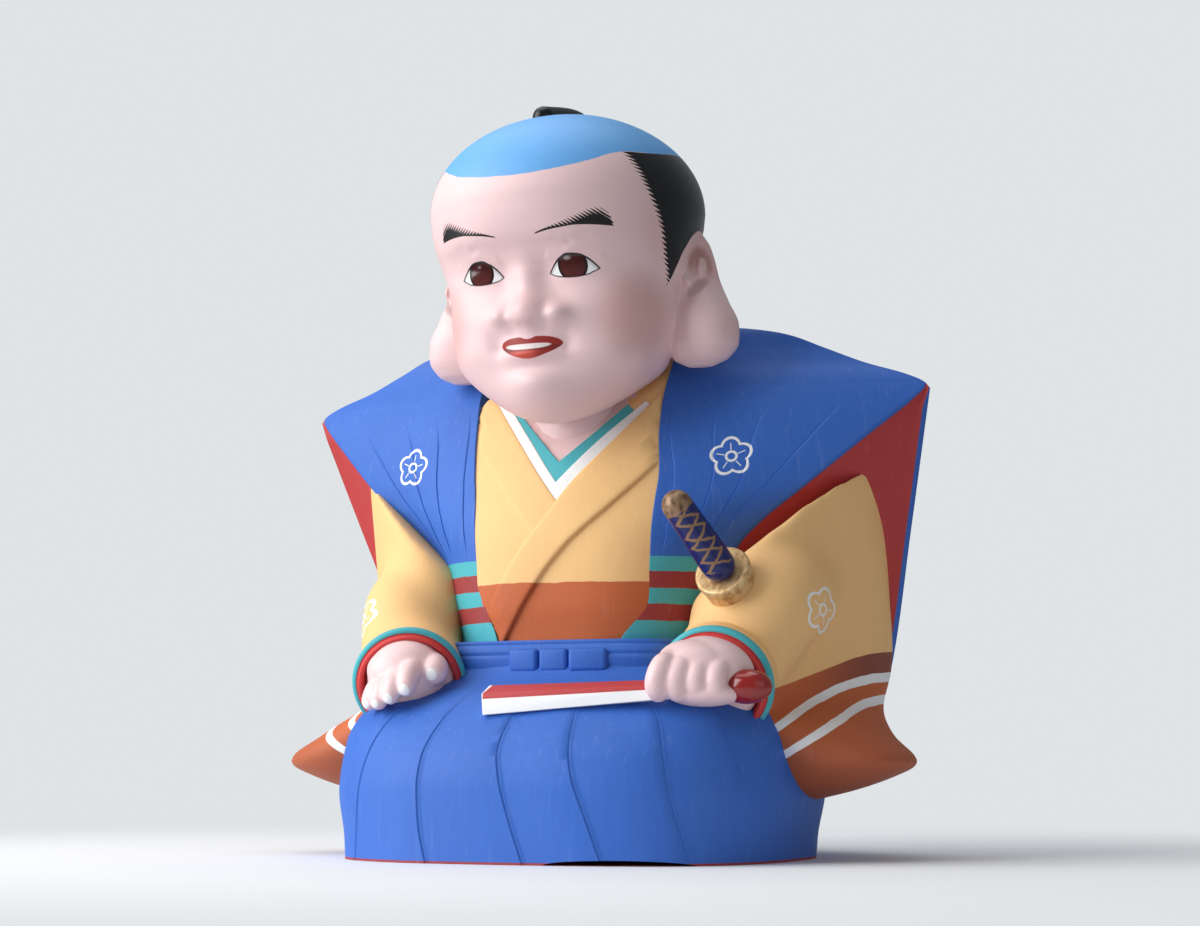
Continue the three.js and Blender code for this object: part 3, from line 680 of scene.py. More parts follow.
class Panels:
    """Where the shoulder wings' front and back panels stand; the chest and the collars lie on the front."""

    strap_edge = shape(
        (54, 19), (82, 25), (95, 32.2), (109, 34.8), (135, 37.2), (148, 38.7), (162, 39), (183, 40),
        (207, 41),
    )
    strap_lean = shape(
        (82, 2), (95, 4), (109, 2.3), (121, 1.8), (135, 1.1), (148, -0.4), (162, -3), (183, -5),
        (207, -5),
    )
    bow = shape((100, 3.4), (118, 3), (142, 1.8))
    wing_x = shape(
        (54, 50), (82, 52.5), (100, 56.5), (111, 60), (118, 64), (130, 76), (140, 88.5),
        (162, 0.85 * WING_REACH), (176, 0.963 * WING_REACH), (179, 0.983 * WING_REACH),
        (181, 0.985 * WING_REACH),
    )
    wing_y = shape((54, -6), (100, -12), (118, -13), (140, -8), (162, 4), (181, 17))
    back_x = shape((54, 96), (75, 105), (127, 0.895 * WING_REACH), (181, WING_REACH))
    back_y = shape((54, 66), (75, 57), (127, 37), (181, 17))
    ridge_x = shape(
        (181, 0.985 * WING_REACH), (182, 0.975 * WING_REACH), (185, 0.925 * WING_REACH),
        (190, 0.81 * WING_REACH), (196.5, 92), (202.5, 77), (206, 58), (207, 46),
    )
    ridge_y = shape((181, 17), (195, 13), (207, 8))
    front_middle = shape((54, -42), (90, -43), (117, -42), (140, -37), (162, -26), (181, -15), (207, 2))
    back_middle = shape((54, 88), (75, 80), (127, 60), (181, 37), (195, 27), (207, 15))

    @classmethod
    def edge(cls, z: Array, low_x: Curve, low_y: Curve) -> tuple[Array, Array]:
        """A panel's outer edge: its own curves up to the tip, and the common ridge above."""
        above = z > WING_TIP
        return np.where(above, cls.ridge_x(z), low_x(z)), np.where(above, cls.ridge_y(z), low_y(z))

    @classmethod
    def front_edge(cls, z: Array) -> tuple[Array, Array]:
        """The front panel's outer edge at a height."""
        return cls.edge(z, cls.wing_x, cls.wing_y)

    @classmethod
    def back_edge(cls, z: Array) -> tuple[Array, Array]:
        """The back panel's outer edge at a height."""
        return cls.edge(z, cls.back_x, cls.back_y)

    @classmethod
    def front_y(cls, x: Array, z: Array) -> Array:
        """Where the front panels stand at a place across and a height."""
        edge_x, edge_y = cls.front_edge(z)
        across = np.minimum(1, np.abs(x) / edge_x)
        return edge_y + (cls.front_middle(z) - edge_y) * (1 - across ** cls.bow(z))

    @classmethod
    def back_wall(cls, x: Array, z: Array) -> Array:
        """Where the back panel stands at a place across and a height."""
        edge_x, edge_y = cls.back_edge(z)
        across = np.minimum(1, np.abs(x) / edge_x)
        return edge_y + (cls.back_middle(z) - edge_y) * (1 - across**2.4)


@dataclass
class Mantle:
    """The stiff shoulder wings: two front panels, one back panel and the red wall between their edges."""

    shop: Workshop
    fold_sink: float = 0.35
    groove: float = 0.4
    levels_below: int = 62
    levels_above: int = 30
    folds_high: tuple[float, ...] = (0.04, 0.25, 0.45, 0.745)
    folds_low: tuple[float, ...] = (0.17, 0.5, 0.67, 0.75)
    fractions: tuple[float, ...] = (0, 0.012, 0.03, 0.07, 0.2, 0.4, 0.6, 0.8, 0.93, 0.97, 0.988)

    def half(self, z: Array, side: int) -> tuple[Array, Array]:
        """One half of a ring, from the middle of the front to the middle of the back.

        Args:
            z: The height of each point.
            side: 1 for the figure's left, -1 for its right.

        Returns:
            The x and y of each column, of shape (columns, points).
        """
        front_x, front_y = Panels.front_edge(z)
        back_x, back_y = Panels.back_edge(z)
        gap = np.hypot(back_x - front_x, back_y - front_y)
        rim = np.minimum(PANEL_THICKNESS, 0.2 * gap)
        sink = np.minimum(1.3 * PANEL_THICKNESS, 0.25 * gap)
        inner = np.minimum(Panels.strap_edge(z) + side * Panels.strap_lean(z), 0.8 * front_x)
        xs, ys = [], []
        recess = 2.5 * PANEL_THICKNESS * (1 - rise(z, 196, SHOULDER))
        for part in (0, 0.6, 0.97):
            xs.append(part * inner)
            ys.append(Panels.front_y(part * inner, z) + recess)
        for out, back in ((0.0, 1.4), (0.02, 0.5), (0.15, 0.12)):
            x = inner + out
            xs.append(x)
            ys.append(Panels.front_y(x, z) + back)
        low, high = self.fold_range(z)
        creases = [np.zeros_like(z)]
        for place_high, place_low in zip(self.folds_high, self.folds_low):
            creases.append(place_low + (place_high - place_low) * low)
        creases.append(np.full_like(z, 0.985))
        for span in range(len(creases) - 1):
            for place in self.fractions:
                part = creases[span] + (creases[span + 1] - creases[span]) * place
                x = inner + 0.4 + (front_x - inner - 0.4) * part
                inner_span = span < len(creases) - 2
                toward = rise(np.array(place), 0.05, 0.97) * inner_span
                line = bell(np.array(place - 1), 0.012) * inner_span
                line = line + bell(np.array(place), 0.012) * (span > 0)
                sunk = (toward * self.fold_sink + line * self.groove) * high
                xs.append(x)
                ys.append(Panels.front_y(x, z) + sunk)
        for part, back in ((0.993, 0.15), (1.0, 0.45)):
            xs.append(inner + (front_x - inner) * part)
            ys.append(Panels.front_y(xs[-1], z) + back * np.minimum(1, rim))
        for part in (0, 0.06, 0.3, 0.6, 0.94, 1):
            xs.append(front_x + (back_x - front_x) * part - sink * min(1, 12 * part, 12 * (1 - part) + 0.3))
            ys.append(front_y + rim + (back_y - front_y - 2.6 * rim) * part)
        for part in (1, 0.995, 0.985, 0.96, *np.linspace(0.92, 0, BACK_COLUMNS - 4)):
            xs.append(part * back_x)
            ys.append(Panels.back_wall(part * back_x, z))
        return np.array(xs), np.array(ys)

    def fold_range(self, z: Array) -> tuple[Array, Array]:
        """How far the folds have spread at a height, and how strongly they show there."""
        spread = rise(z, 112, 170)
        strength = rise(z, 112, 124) * (1 - rise(z, 158, 178))
        return spread, strength

    def build(self) -> list[Piece]:
        """The mantle's form."""
        half_count = len(self.half(np.array([PANEL_FOOT]), 1)[0]) - 1
        columns = 2 * half_count
        levels = self.levels_below + self.levels_above
        tip_level = self.levels_below / levels
        lining = half_count - BACK_COLUMNS - LINING_COLUMNS

        def ring(level: Array, turn: Array) -> Array:
            below = np.minimum(level / tip_level, 1)
            above = np.clip((level - tip_level) / (1 - tip_level), 0, 1)
            z = PANEL_FOOT + (WING_TIP - PANEL_FOOT) * below + (SHOULDER - WING_TIP) * above
            place = np.round(turn * columns).astype(int) % columns
            mirrored = place > half_count
            row = np.where(mirrored, columns - place, place)
            index = np.arange(len(z))
            left_x, left_y = self.half(z, 1)
            right_x, right_y = self.half(z, -1)
            x = np.where(mirrored, -right_x[row, index], left_x[row, index])
            y = np.where(mirrored, right_y[row, index], left_y[row, index])
            return np.stack([x, y, z], axis=1)

        def paint(level: float, turn: float) -> int:
            place = turn * columns
            row = columns - place if place > half_count else place
            inside = lining < row < lining + LINING_COLUMNS and level < tip_level
            return Paint.LINING if inside else Paint.MANTLE

        LOG.info("mantle: %d columns, %d levels", columns, levels)
        return [self.shop.loft("mantle", columns, levels, ring, paint)]


class Chest:
    """The robe's front between the straps."""

    foot = 60.0
    top = 204.0
    half_width = shape((60, 48), (120, 47), (160, 45), (188, 40), (207, 40))
    bulge = shape((60, -1), (82, 0), (96, 2.2), (110, 2.6), (150, 1), (176, 0), (188, -0.6), (207, -1.5))
    back = shape((60, 20), (175, 20), (195, 10), (207, 6))

    def __init__(self, shop: Workshop) -> None:
        """Takes the workshop that makes the meshes."""
        self.shop = shop

    @classmethod
    def surface(cls, x: Array, z: Array) -> Array:
        """Where the chest stands at a place across and a height."""
        across = np.minimum(1, np.abs(x) / cls.half_width(z))
        return Panels.front_y(x, z) + 1.3 - cls.bulge(z) * (1 - across**2)

    def build(self) -> list[Piece]:
        """The chest's form and the collars on it."""

        def ring(level: Array, turn: Array) -> Array:
            z = self.foot + (self.top - self.foot) * level
            angle = 2 * np.pi * turn
            x, y = rounded_ring(angle, self.half_width(z), self.back(z), np.array(3.0))
            throat = 1 - rise(np.abs(x + 2) - 0.88 * (z - 149), -2, 4)
            front = self.surface(x, z) + 1.8 * rise(z, 139, 150) * throat
            y = np.where(np.cos(angle) > 0.01, np.minimum(front, 8), 8 + np.maximum(0, y))
            return np.stack([x, y, z], axis=1)

        def paint(level: float, turn: float) -> int:
            x, _, z = ring(np.array([level]), np.array([turn]))[0]
            return Paint.SKIN if abs(x + 2) < min(24, 0.88 * (z - 144.5)) else Paint.ROBE

        LOG.info("chest and collars")
        return [self.shop.loft("chest", 72, 64, ring, paint), *self.collars()]

    def band(
        self, name: str, path: Pairs, halves: Sequence[float], lift: float, paint: int
    ) -> Piece:
        """A flat band laid on the chest.

        Args:
            name: The band's name.
            path: Its middle line's (x, z) places.
            halves: Half widths along it.
            lift: How far it stands out from the chest.
            paint: The paint's slot.

        Returns:
            The closed band.
        """
        curve = route([(x, 0, z) for x, z in path])
        width = evenly(halves)

        def ring(level: Array, turn: Array) -> Array:
            middle, way = curve(level)
            across, out = rounded_ring(2 * np.pi * turn, width(level), 1, np.array(7.0))
            x = middle[:, 0] + way[:, 2] * across
            z = middle[:, 2] - way[:, 0] * across
            side = np.sign(x)
            strap = Panels.strap_edge(z) + side * Panels.strap_lean(z)
            shown = 1 - rise(np.abs(x), strap - 2, strap + 1)
            stands = np.where(out < 0, out * lift * shown + 1.5 * (1 - shown), out * 4.8)
            return np.stack([x, self.surface(x, z) + stands, z], axis=1)

        return self.shop.loft(name, 40, 40, ring, paint)

    def collars(self) -> list[Piece]:
        """The yellow lapels, left over right, then the white and the teal collar in a narrow V."""
        under = [(0, 124.5), (-6.5, 132), (-25, 153.3), (-45, 176.5)]
        over = [(-27, 82), (-21, 91.6), (-7.7, 112), (7.6, 130.5), (27, 153), (46, 176)]
        bands = (
            ("under_lapel", under, (7.6, 7.6), 1.1, Paint.ROBE),
            ("over_lapel", over, (6, 6.5, 7, 9.4, 10.3, 11), 1.9, Paint.ROBE),
            ("white_right", [(2.5, 134.5), (-18, 158.6), (-37, 181)], (2.9, 2.6, 2.2), 0.5, Paint.WHITE),
            ("white_left", [(-3.5, 134.5), (15, 157.5), (29.2, 174.5)], (2.9, 2.9, 1.2), 0.6, Paint.WHITE),
            ("teal_right", [(0, 144.5), (-16, 160), (-31, 176)], (3.6, 3.2, 2.4), 0, Paint.TEAL),
            ("teal_left", [(-3, 144.5), (12, 160), (23, 172.6)], (3.6, 3.2, 2.4), 0.1, Paint.TEAL),
        )
        return [self.band(*band) for band in bands]


@dataclass
class Sleeves:
    """The hanging sleeves and the forearms with their cuffs."""

    shop: Workshop
    foot: float = 21.0
    top: float = 172.0
    voxel: float = 1.1
    triangles: int = 26000
    passes: int = 22

    reach = 129.5
    middle_x = shape(
        (21, 78), (26, 85), (30, 91), (36, 0.75 * reach), (47, 88), (63, 77.5), (100, 79), (127, 80.5),
        (148, 85),
    )
    right_inset = shape((82, 0), (100, 1.5), (127, 2), (148, 2))
    middle_y = shape((21, 0), (36, -2), (47, 3), (63, 10), (75, 12), (100, 10), (127, 8), (148, 8))
    long = shape(
        (21, 8), (26, 20), (30, 25), (36, 30), (47, 38), (63, 49), (75, 51), (100, 47), (127, 42),
        (148, 32),
    )
    wide = shape(
        (21, 7), (26, 21), (30, 27), (36, 0.25 * reach), (47, 28), (63, 21), (82, 20), (127, 20),
        (148, 18),
    )
    turn_of = shape((40, 0), (63, 25), (75, 27), (100, 30), (127, 34), (148, 36))
    cuff_steps = (
        (-3.0, 1.0, Paint.SLEEVE),
        (-1.6, 1.0, Paint.SLEEVE),
        (-1.2, 1.012, Paint.TEAL),
        (0.0, 1.03, Paint.TEAL),
        (1.2, 1.035, Paint.TEAL),
        (2.2, 1.02, Paint.TEAL),
        (2.7, 0.99, Paint.TEAL),
        (2.8, 0.955, Paint.TEAL),
        (2.6, 0.935, Paint.RED),
        (3.4, 0.935, Paint.RED),
        (4.4, 0.925, Paint.RED),
        (5.0, 0.9, Paint.RED),
        (5.1, 0.865, Paint.RED),
        (4.6, 0.84, Paint.RED),
        (2.5, 0.81, Paint.RED),
        (0.5, 0.78, Paint.RED),
    )

    def bag(self, side: int) -> Piece:
        """One sleeve's hanging bag; side is 1 for the figure's left."""

        def ring(level: Array, turn: Array) -> Array:
            height = self.foot + (self.top - self.foot) * level
            angle = 2 * np.pi * side * turn
            across, along = rounded_ring(angle, self.wide(height), self.long(height), np.array(2.2))
            lean = np.radians(self.turn_of(height))
            x = self.middle_x(height) + across * np.cos(lean) + along * np.sin(lean)
            x = x - (self.right_inset(height) if side < 0 else 0)
            y = self.middle_y(height) - across * np.sin(lean) + along * np.cos(lean)
            roof = 116 + 0.89 * (x - 72) if side > 0 else 129 + 0.8 * (x - 72)
            z = np.where(height < WAIST, height, soft_min(height, roof, 6))
            return np.stack([side * x, y, z], axis=1)

        return self.shop.loft(f"sleeve_{'left' if side > 0 else 'right'}", 84, 72, ring, Paint.SLEEVE)

    def forearm(
        self,
        name: str,
        start: Sequence[float],
        elbow: Sequence[float],
        wrist: Sequence[float],
        leaves: Sequence[float],
        radius: float,
        slimmed: float,
        cuffed: bool,
    ) -> Piece:
        """A forearm that runs forward from under the wing and may end in a rimmed cuff.

        Args:
            name: The form's name.
            start: Where it starts, inside the sleeve.
            elbow: Where it bends.
            wrist: The middle of the cuff's mouth.
            leaves: Which way the mouth looks.
            radius: The cuff's radius.
            slimmed: The upper end's radius as a share of the cuff's.
            cuffed: Whether it has the cuff; its upper end is thinner then, to stay inside the sleeve.

        Returns:
            The closed form.
        """
        way = np.array(leaves, float)
        way /= np.linalg.norm(way)
        end = np.array(wrist, float)
        path = route([start, elbow, end - 0.8 * radius * way, end])
        arm_levels = 30
        levels = arm_levels + (len(self.cuff_steps) if cuffed else 0)
        held = 0.14 if cuffed else 0.0
        steps = np.array([(out, size) for out, size, _ in self.cuff_steps])

        def ring(level: Array, turn: Array) -> Array:
            number = np.round(level * levels).astype(int)
            step = np.clip(number - arm_levels - 1, 0, len(steps) - 1)
            on_cuff = number > arm_levels
            along = np.minimum(1, number / arm_levels) * 0.93
            along = np.where(on_cuff, 1, along)
            place, tangent = path(along)
            place = place + np.where(on_cuff[:, None], steps[step, 0][:, None] * way, 0)
            arm = slimmed + (1 - slimmed) * rise(along, 0.2, 0.95) - held * (1 - rise(along, 0.55, 0.9))
            size = radius * np.where(on_cuff, steps[step, 1], arm)
            return place + around(tangent, (0, 0, 1), turn) * size[:, None]

        def paint(level: float, turn: float) -> int:
            number = int(level * levels)
            return self.cuff_steps[number - arm_levels][2] if number >= arm_levels else Paint.SLEEVE

        return self.shop.loft(name, 72, levels, ring, paint)

    def build(self) -> list[Piece]:
        """Both sleeves, each run together with its forearm, and the cuffs."""
        arms = (
            (-1, (-64, 8, 98), (-71.5, -19, 98), (-56.6, -48, 67), (0.36, -0.86, -0.36), 21.2, 0.78),
            (1, (80, 6, 100), (80, -19, 95), (66.7, -44, 65.3), (0.05, -0.93, -0.36), 21.2, 0.94),
        )
        easings = (Easing((-74, -22, 94), 36, 120), Easing((86, -22, 92), 40, 160))
        forms = []
        for (side, *arm), easing in zip(arms, easings):
            core = self.forearm("core", *arm, cuffed=False)
            sleeve = self.shop.joined("sleeve", [self.bag(side), core])
            forms.append(self.shop.softened(sleeve, self.voxel, self.triangles, self.passes, easing))
            forms.append(self.forearm("cuff", *arm, cuffed=True))
        LOG.info("sleeves and forearms")
        return forms


@dataclass
class Hands:
    """The open right hand, the closed left hand and the folding fan in it."""

    shop: Workshop
    voxel: float = 0.55
    triangles: int = 12000
    passes: int = 14

    def finished(self, name: str, fingers: list[Piece], ovals: Sequence[tuple]) -> Piece:
        """A hand run together from its fingers and the ovals of its body."""
        body = [self.shop.oval(*form, Paint.SKIN, way, detail) for *form, way, detail in ovals]
        hand = self.shop.joined(name, fingers + body)
        return self.shop.softened(hand, self.voxel, self.triangles, self.passes)

    def open_hand(self) -> Piece:
        """The right hand, flat on the thigh, four fingers side by side and the thumb apart."""
        tips = [(-47.5, -70, 61), (-53.5, -71.5, 58), (-59.7, -70, 56), (-65.5, -66, 56)]
        parts = []
        for i, tip in enumerate(tips):
            root = (-49 - 4 * i, -52, 72 - 1.5 * i)
            knuckle = (0.5 * root[0] + 0.5 * tip[0], tip[1] + 5.4, tip[2] + 8.8)
            parts.append(self.shop.limb(f"finger_{i}", [root, knuckle, tip], (4.4, 4.3, 3.3), Paint.SKIN))
        thumb = [(-48, -50, 74), (-42, -56, 71.5), (-40.8, -61.5, 66.5)]
        parts.append(self.shop.limb("thumb", thumb, (5.2, 5.2, 4.8), Paint.SKIN))
        ovals = (
            ("back", (-56, -57, 70.5), (13.5, 9.5, 9.5), (0.1, -0.75, 0.9), 40),
            ("palm", (-55.5, -53, 69.5), (15.5, 13, 14), (0.1, -0.35, 1), 40),
            ("wrist", (-55.5, -49, 67), (17, 17, 8), (0.36, -0.86, -0.36), 40),
        )
        return self.finished("open_hand", parts, ovals)

    def closed_hand(self) -> Piece:
        """The left hand, closed over the fan."""
        parts = []
        for i in range(4):
            root = (58 + 6.2 * i, -58 + 1.5 * i, 73.5 - 0.6 * i)
            tip = (54 + 6.8 * i, -66 + 2 * i, 59.2)
            knuckle = (root[0] - 2.6, tip[1] - 3.6, root[2] - 3)
            joint = (tip[0] - 0.5, tip[1] - 5.5, tip[2] + 4.5)
            path = [root, knuckle, joint, tip]
            parts.append(self.shop.limb(f"closed_{i}", path, (4.4, 4.5, 4.3, 3.8), Paint.SKIN))
        ovals = (
            ("fist", (68, -54, 69.5), (16.5, 13, 12), (0.25, -0.2, 1), 40),
            ("back", (64, -60, 71.5), (14, 10, 8.5), (0.15, -0.5, 1), 40),
            ("heel", (68, -60, 60.6), (14.5, 10, 4.6), (0, 0, 1), 32),
            ("wrist", (67, -46, 66), (17, 17, 8), (0.05, -0.93, -0.36), 40),
        )
        return self.finished("closed_hand", parts, ovals)

    def fan(self) -> list[Piece]:
        """The closed fan, with a chamfered top edge, and its round lacquered end."""
        bm = bmesh.new()
        bmesh.ops.create_cube(bm, size=1)
        for vert in bm.verts:
            front, high = vert.co.y < 0, vert.co.z > 0
            vert.co.x = FAN_LENGTH * (vert.co.x + 0.5)
            vert.co.y = -5 if front else 4
            vert.co.z = -5.2 if not high else 2.6 if front else 6
        round_edges(bm, 0.35, 2)
        for vert in bm.verts:
            taper = 1 - 0.46 * vert.co.x / FAN_LENGTH
            vert.co.y *= taper
            vert.co.z *= taper
        turns = [Matrix.Rotation(math.radians(angle), 3, axis) for angle, axis in ((5, "Z"), (-3, "Y"))]
        move(bm, (FAN_TIP_X, -72, 58.5), *turns)
        knob = self.shop.oval("fan_end", (83, -58, 63.2), (9.6, 6.8, 6.3), Paint.LACQUER)
        return [self.shop.object_of("fan", bm, Paint.FAN), knob]

    def build(self) -> list[Piece]:
        """Both hands and the fan."""
        LOG.info("hands and fan")
        return [self.open_hand(), self.closed_hand(), *self.fan()]


@dataclass
class Head:
    """The head with its face, ears and topknot."""

    shop: Workshop
    columns: int = 200
    squeeze: float = 0.62
    jaw_lift: float = 10.0

    half_width = shape(
        (163, 0.29), (172, 0.315), (181, 0.35), (190, 0.378), (203, 0.41), (214, 0.43), (228, 0.465),
        (240, 0.492), (248, 0.5),
    )
    front = shape(
        (163, 0.345), (176, 0.33), (184, 0.318), (192, 0.325), (200, 0.327), (212, 0.338), (221, 0.36),
        (227, 0.402), (233, 0.455), (240, 0.482), (248, 0.497),
    )
    back = shape((163, 0.3), (190, 0.34), (205, 0.4), (225, 0.47), (240, 0.49), (248, 0.5))
    forms = (
        ("cheek", 29, 204, 14, 15, 4.4),
        ("jowl", 31, 188, 14, 9, 2.4),
        ("eyeball", 19.5, 220.4, 9, 4.4, 1.3),
        ("inner socket", 9.5, 219.5, 4, 4.5, -1.0),
        ("bridge", 0, 214, 5.6, 10, 3.2),
        ("nose tip", 0, 204.0, 8.6, 6.4, 8.2),
        ("nose wing", 10.4, 202.6, 4.7, 4.2, 4.9),
        ("nose base", 0, 200.2, 7.5, 2.4, 1.5),
        ("wing crease", 6.6, 203.6, 1.9, 4.0, -1.0),
        ("nostril", 5.4, 198.0, 3.2, 1.7, -2.2),
        ("lip groove", 0, 196.2, 1.8, 1.8, -0.5),
        ("mouth mound", 0, 190.5, 12, 9.5, 3.0),
        ("mouth corner", 13.8, 192.3, 3.4, 4.0, -1.5),
        ("beside nose", 17, 203, 6.0, 8, 1.6),
        ("upper lip", 0, 193.3, 9.5, 1.4, 1.2),
        ("lower lip", 0, 188, 8.5, 2.0, 1.7),
        ("mouth slit", 0, 191, 9.5, 0.9, -1.0),
        ("under lip", 0, 183.6, 8.5, 2.4, -1.4),
        ("chin", 0, 176.5, 10.5, 6.5, 3.2),
        ("brow bone", 22, 231, 14, 4, 0.7),
    )

    def heights(self) -> Array:
        """The heights of the rings: close together over the face, and round at both ends."""
        jaw = CHIN + (176 - CHIN) * (1 - np.cos(np.linspace(0.12, np.pi / 2, 14)))
        face = np.arange(176.7, 230, 0.72)
        dome = 230 + (CROWN - 0.05 - 230) * np.sin(np.linspace(0.012, np.pi / 2 - 0.06, 44))
        return np.concatenate([jaw, face, dome])

    def relief(self, x: Array, z: Array) -> Array:
        """How far the face stands out at a place across and a height."""
        total = np.zeros_like(x)
        x = x - FACE_SHIFT * (1 - rise(z, 207, 219))
        for _, across, height, wide, tall, depth in self.forms:
            total += depth * bell(np.abs(x) - across, wide) * bell(z - height, tall)
        fold = 224.9 + 2.9 * (1 - ((np.abs(x) - 20) / 11) ** 2)
        lid = rise(12 - np.abs(np.abs(x) - 20), 0, 5)
        total += lid * (0.7 * bell(z - fold + 1.3, 1.4) - 0.5 * bell(z - fold - 0.8, 1.1))
        return total

    def skull(self) -> Piece:
        """The head itself."""
        heights = self.heights()
        levels = len(heights) - 1

        def ring(level: Array, turn: Array) -> Array:
            z = heights[np.round(level * levels).astype(int)]
            dome = np.where(z > BROW, np.sqrt(np.maximum(0, 1 - ((z - BROW) / (CROWN - BROW)) ** 2)), 1)
            jaw = np.where(z < JAW, np.sqrt(np.maximum(0, 1 - ((JAW - z) / (JAW - CHIN)) ** 2)), 1)
            turned = 2 * np.pi * turn
            angle = turned - self.squeeze * np.sin(turned)
            faces = np.cos(angle) > 0
            depth = np.where(faces, self.front(z) * jaw**0.6, self.back(z) * jaw) * HEAD_DEPTH * dome
            x, y = rounded_ring(angle, self.half_width(z) * HEAD_WIDTH * dome * jaw, depth, np.array(2.08))
            relief = np.where(faces, self.relief(x, z) * rise(np.cos(angle), 0.1, 0.5), 0)
            outward = 1 + relief / np.maximum(12, np.hypot(x, y))
            lift = self.jaw_lift * (1 - rise(z, CHIN, 196)) * rise(y, -26, 30)
            return np.stack([x * outward, y * outward + HEAD_MIDDLE_Y, z + lift], axis=1)

        return self.shop.loft("skull", self.columns, levels, ring, Paint.HEAD)

    def ear(self, side: int) -> Piece:
        """One ear with a long full lobe; side is 1 for the figure's left."""
        foot, top = 187.0, 238.5
        middle_x = profile([(187, 51), (200, 52.2), (213, 51.5), (240, 49)])
        wide = profile(
            [(187, 5), (190, 11), (196, 14.3), (203, 14), (212, 10.5), (222, 7), (234, 5), (240, 2)]
        )
        long = profile(
            [(187, 3), (190, 8), (196, 11.6), (203, 12.5), (213, 11), (224, 11), (234, 8), (240, 3)]
        )
        bumps = ((42.1, 223.8, 2.5, 3.9, 1.6), (45.5, 199, 6, 9, 0.8))
        arcs = (
            (42.3, 224.3, 3.6, 6.5, 1.2, -3.4, (0.3, 0.8)),
            (42.3, 224.3, 3.6, 6.5, 1.2, -2.2, (-0.9, 0.3)),
            (41.6, 225.0, 7.0, 8.6, 1.5, 2.2, (-0.9, -0.3)),
        )

        def ring(level: Array, turn: Array) -> Array:
            z = foot + (top - foot) * (1 - np.cos(np.pi * (0.015 + 0.97 * level))) / 2
            angle = 2 * np.pi * turn
            x, y = rounded_ring(angle, wide(z), long(z), np.array(2.0))
            reach = np.hypot(x, y)
            seen = SEEN_X * (middle_x(z) + side * x) + SEEN_Y * (y - 15)
            relief = np.zeros_like(x)
            for seen_at, z_at, wide_at, tall, depth in bumps:
                relief += depth * bell(seen - seen_at, wide_at) * bell(z - z_at, tall)
            along = (seen - 41.2) * 0.74 + (z - 216) * 0.67
            beside = (z - 216) * 0.74 - (seen - 41.2) * 0.67
            relief -= 2.8 * bell(along, 6.5) * bell(beside, 2.2)
            for seen_at, z_at, wide_at, tall, line, depth, toward in arcs:
                part_x, part_z = (seen - seen_at) / wide_at, (z - z_at) / tall
                off = (np.hypot(part_x, part_z) - 1) * min(wide_at, tall)
                facing = part_x * toward[0] + part_z * toward[1]
                facing = facing / np.maximum(0.2, np.hypot(part_x, part_z))
                relief += depth * bell(off, line) * rise(facing, -0.35, 0.25)
            outward = 1 + relief * rise(side * x * 0.6 - y * 0.8, 0, 3) / np.maximum(4, reach)
            return np.stack([side * middle_x(z) + x * outward, y * outward - 15, z], axis=1)

        return self.shop.loft(f"ear_{'left' if side > 0 else 'right'}", 120, 110, ring, Paint.HEAD)

    def build(self) -> list[Piece]:
        """The head, turned a little to its right."""
        knot_path = [(0, 16, 262), (0, 3, 279.5), (-1, -14, 288.6), (-3.5, -46, 284.2)]
        knot = self.shop.limb("topknot", knot_path, (5.5, 4.6, 4.2, 4.3), Paint.HAIR, 32, 48)
        head = self.shop.joined("head", [self.skull(), self.ear(1), self.ear(-1), knot])
        pivot = Vector((0, HEAD_MIDDLE_Y, 0)) * self.shop.share
        turn = Matrix.Rotation(math.radians(HEAD_TURN), 4, "Z")
        self.shop.thumbed(head, 189, 246, 4, 30)
        head.data.transform(Matrix.Translation(pivot) @ turn @ Matrix.Translation(-pivot))
        neck = self.shop.oval("neck", (-2, -1, 168), (22, 24, 26), Paint.SKIN, detail=48)
        LOG.info("head: %d columns", self.columns)
        return [head, neck]


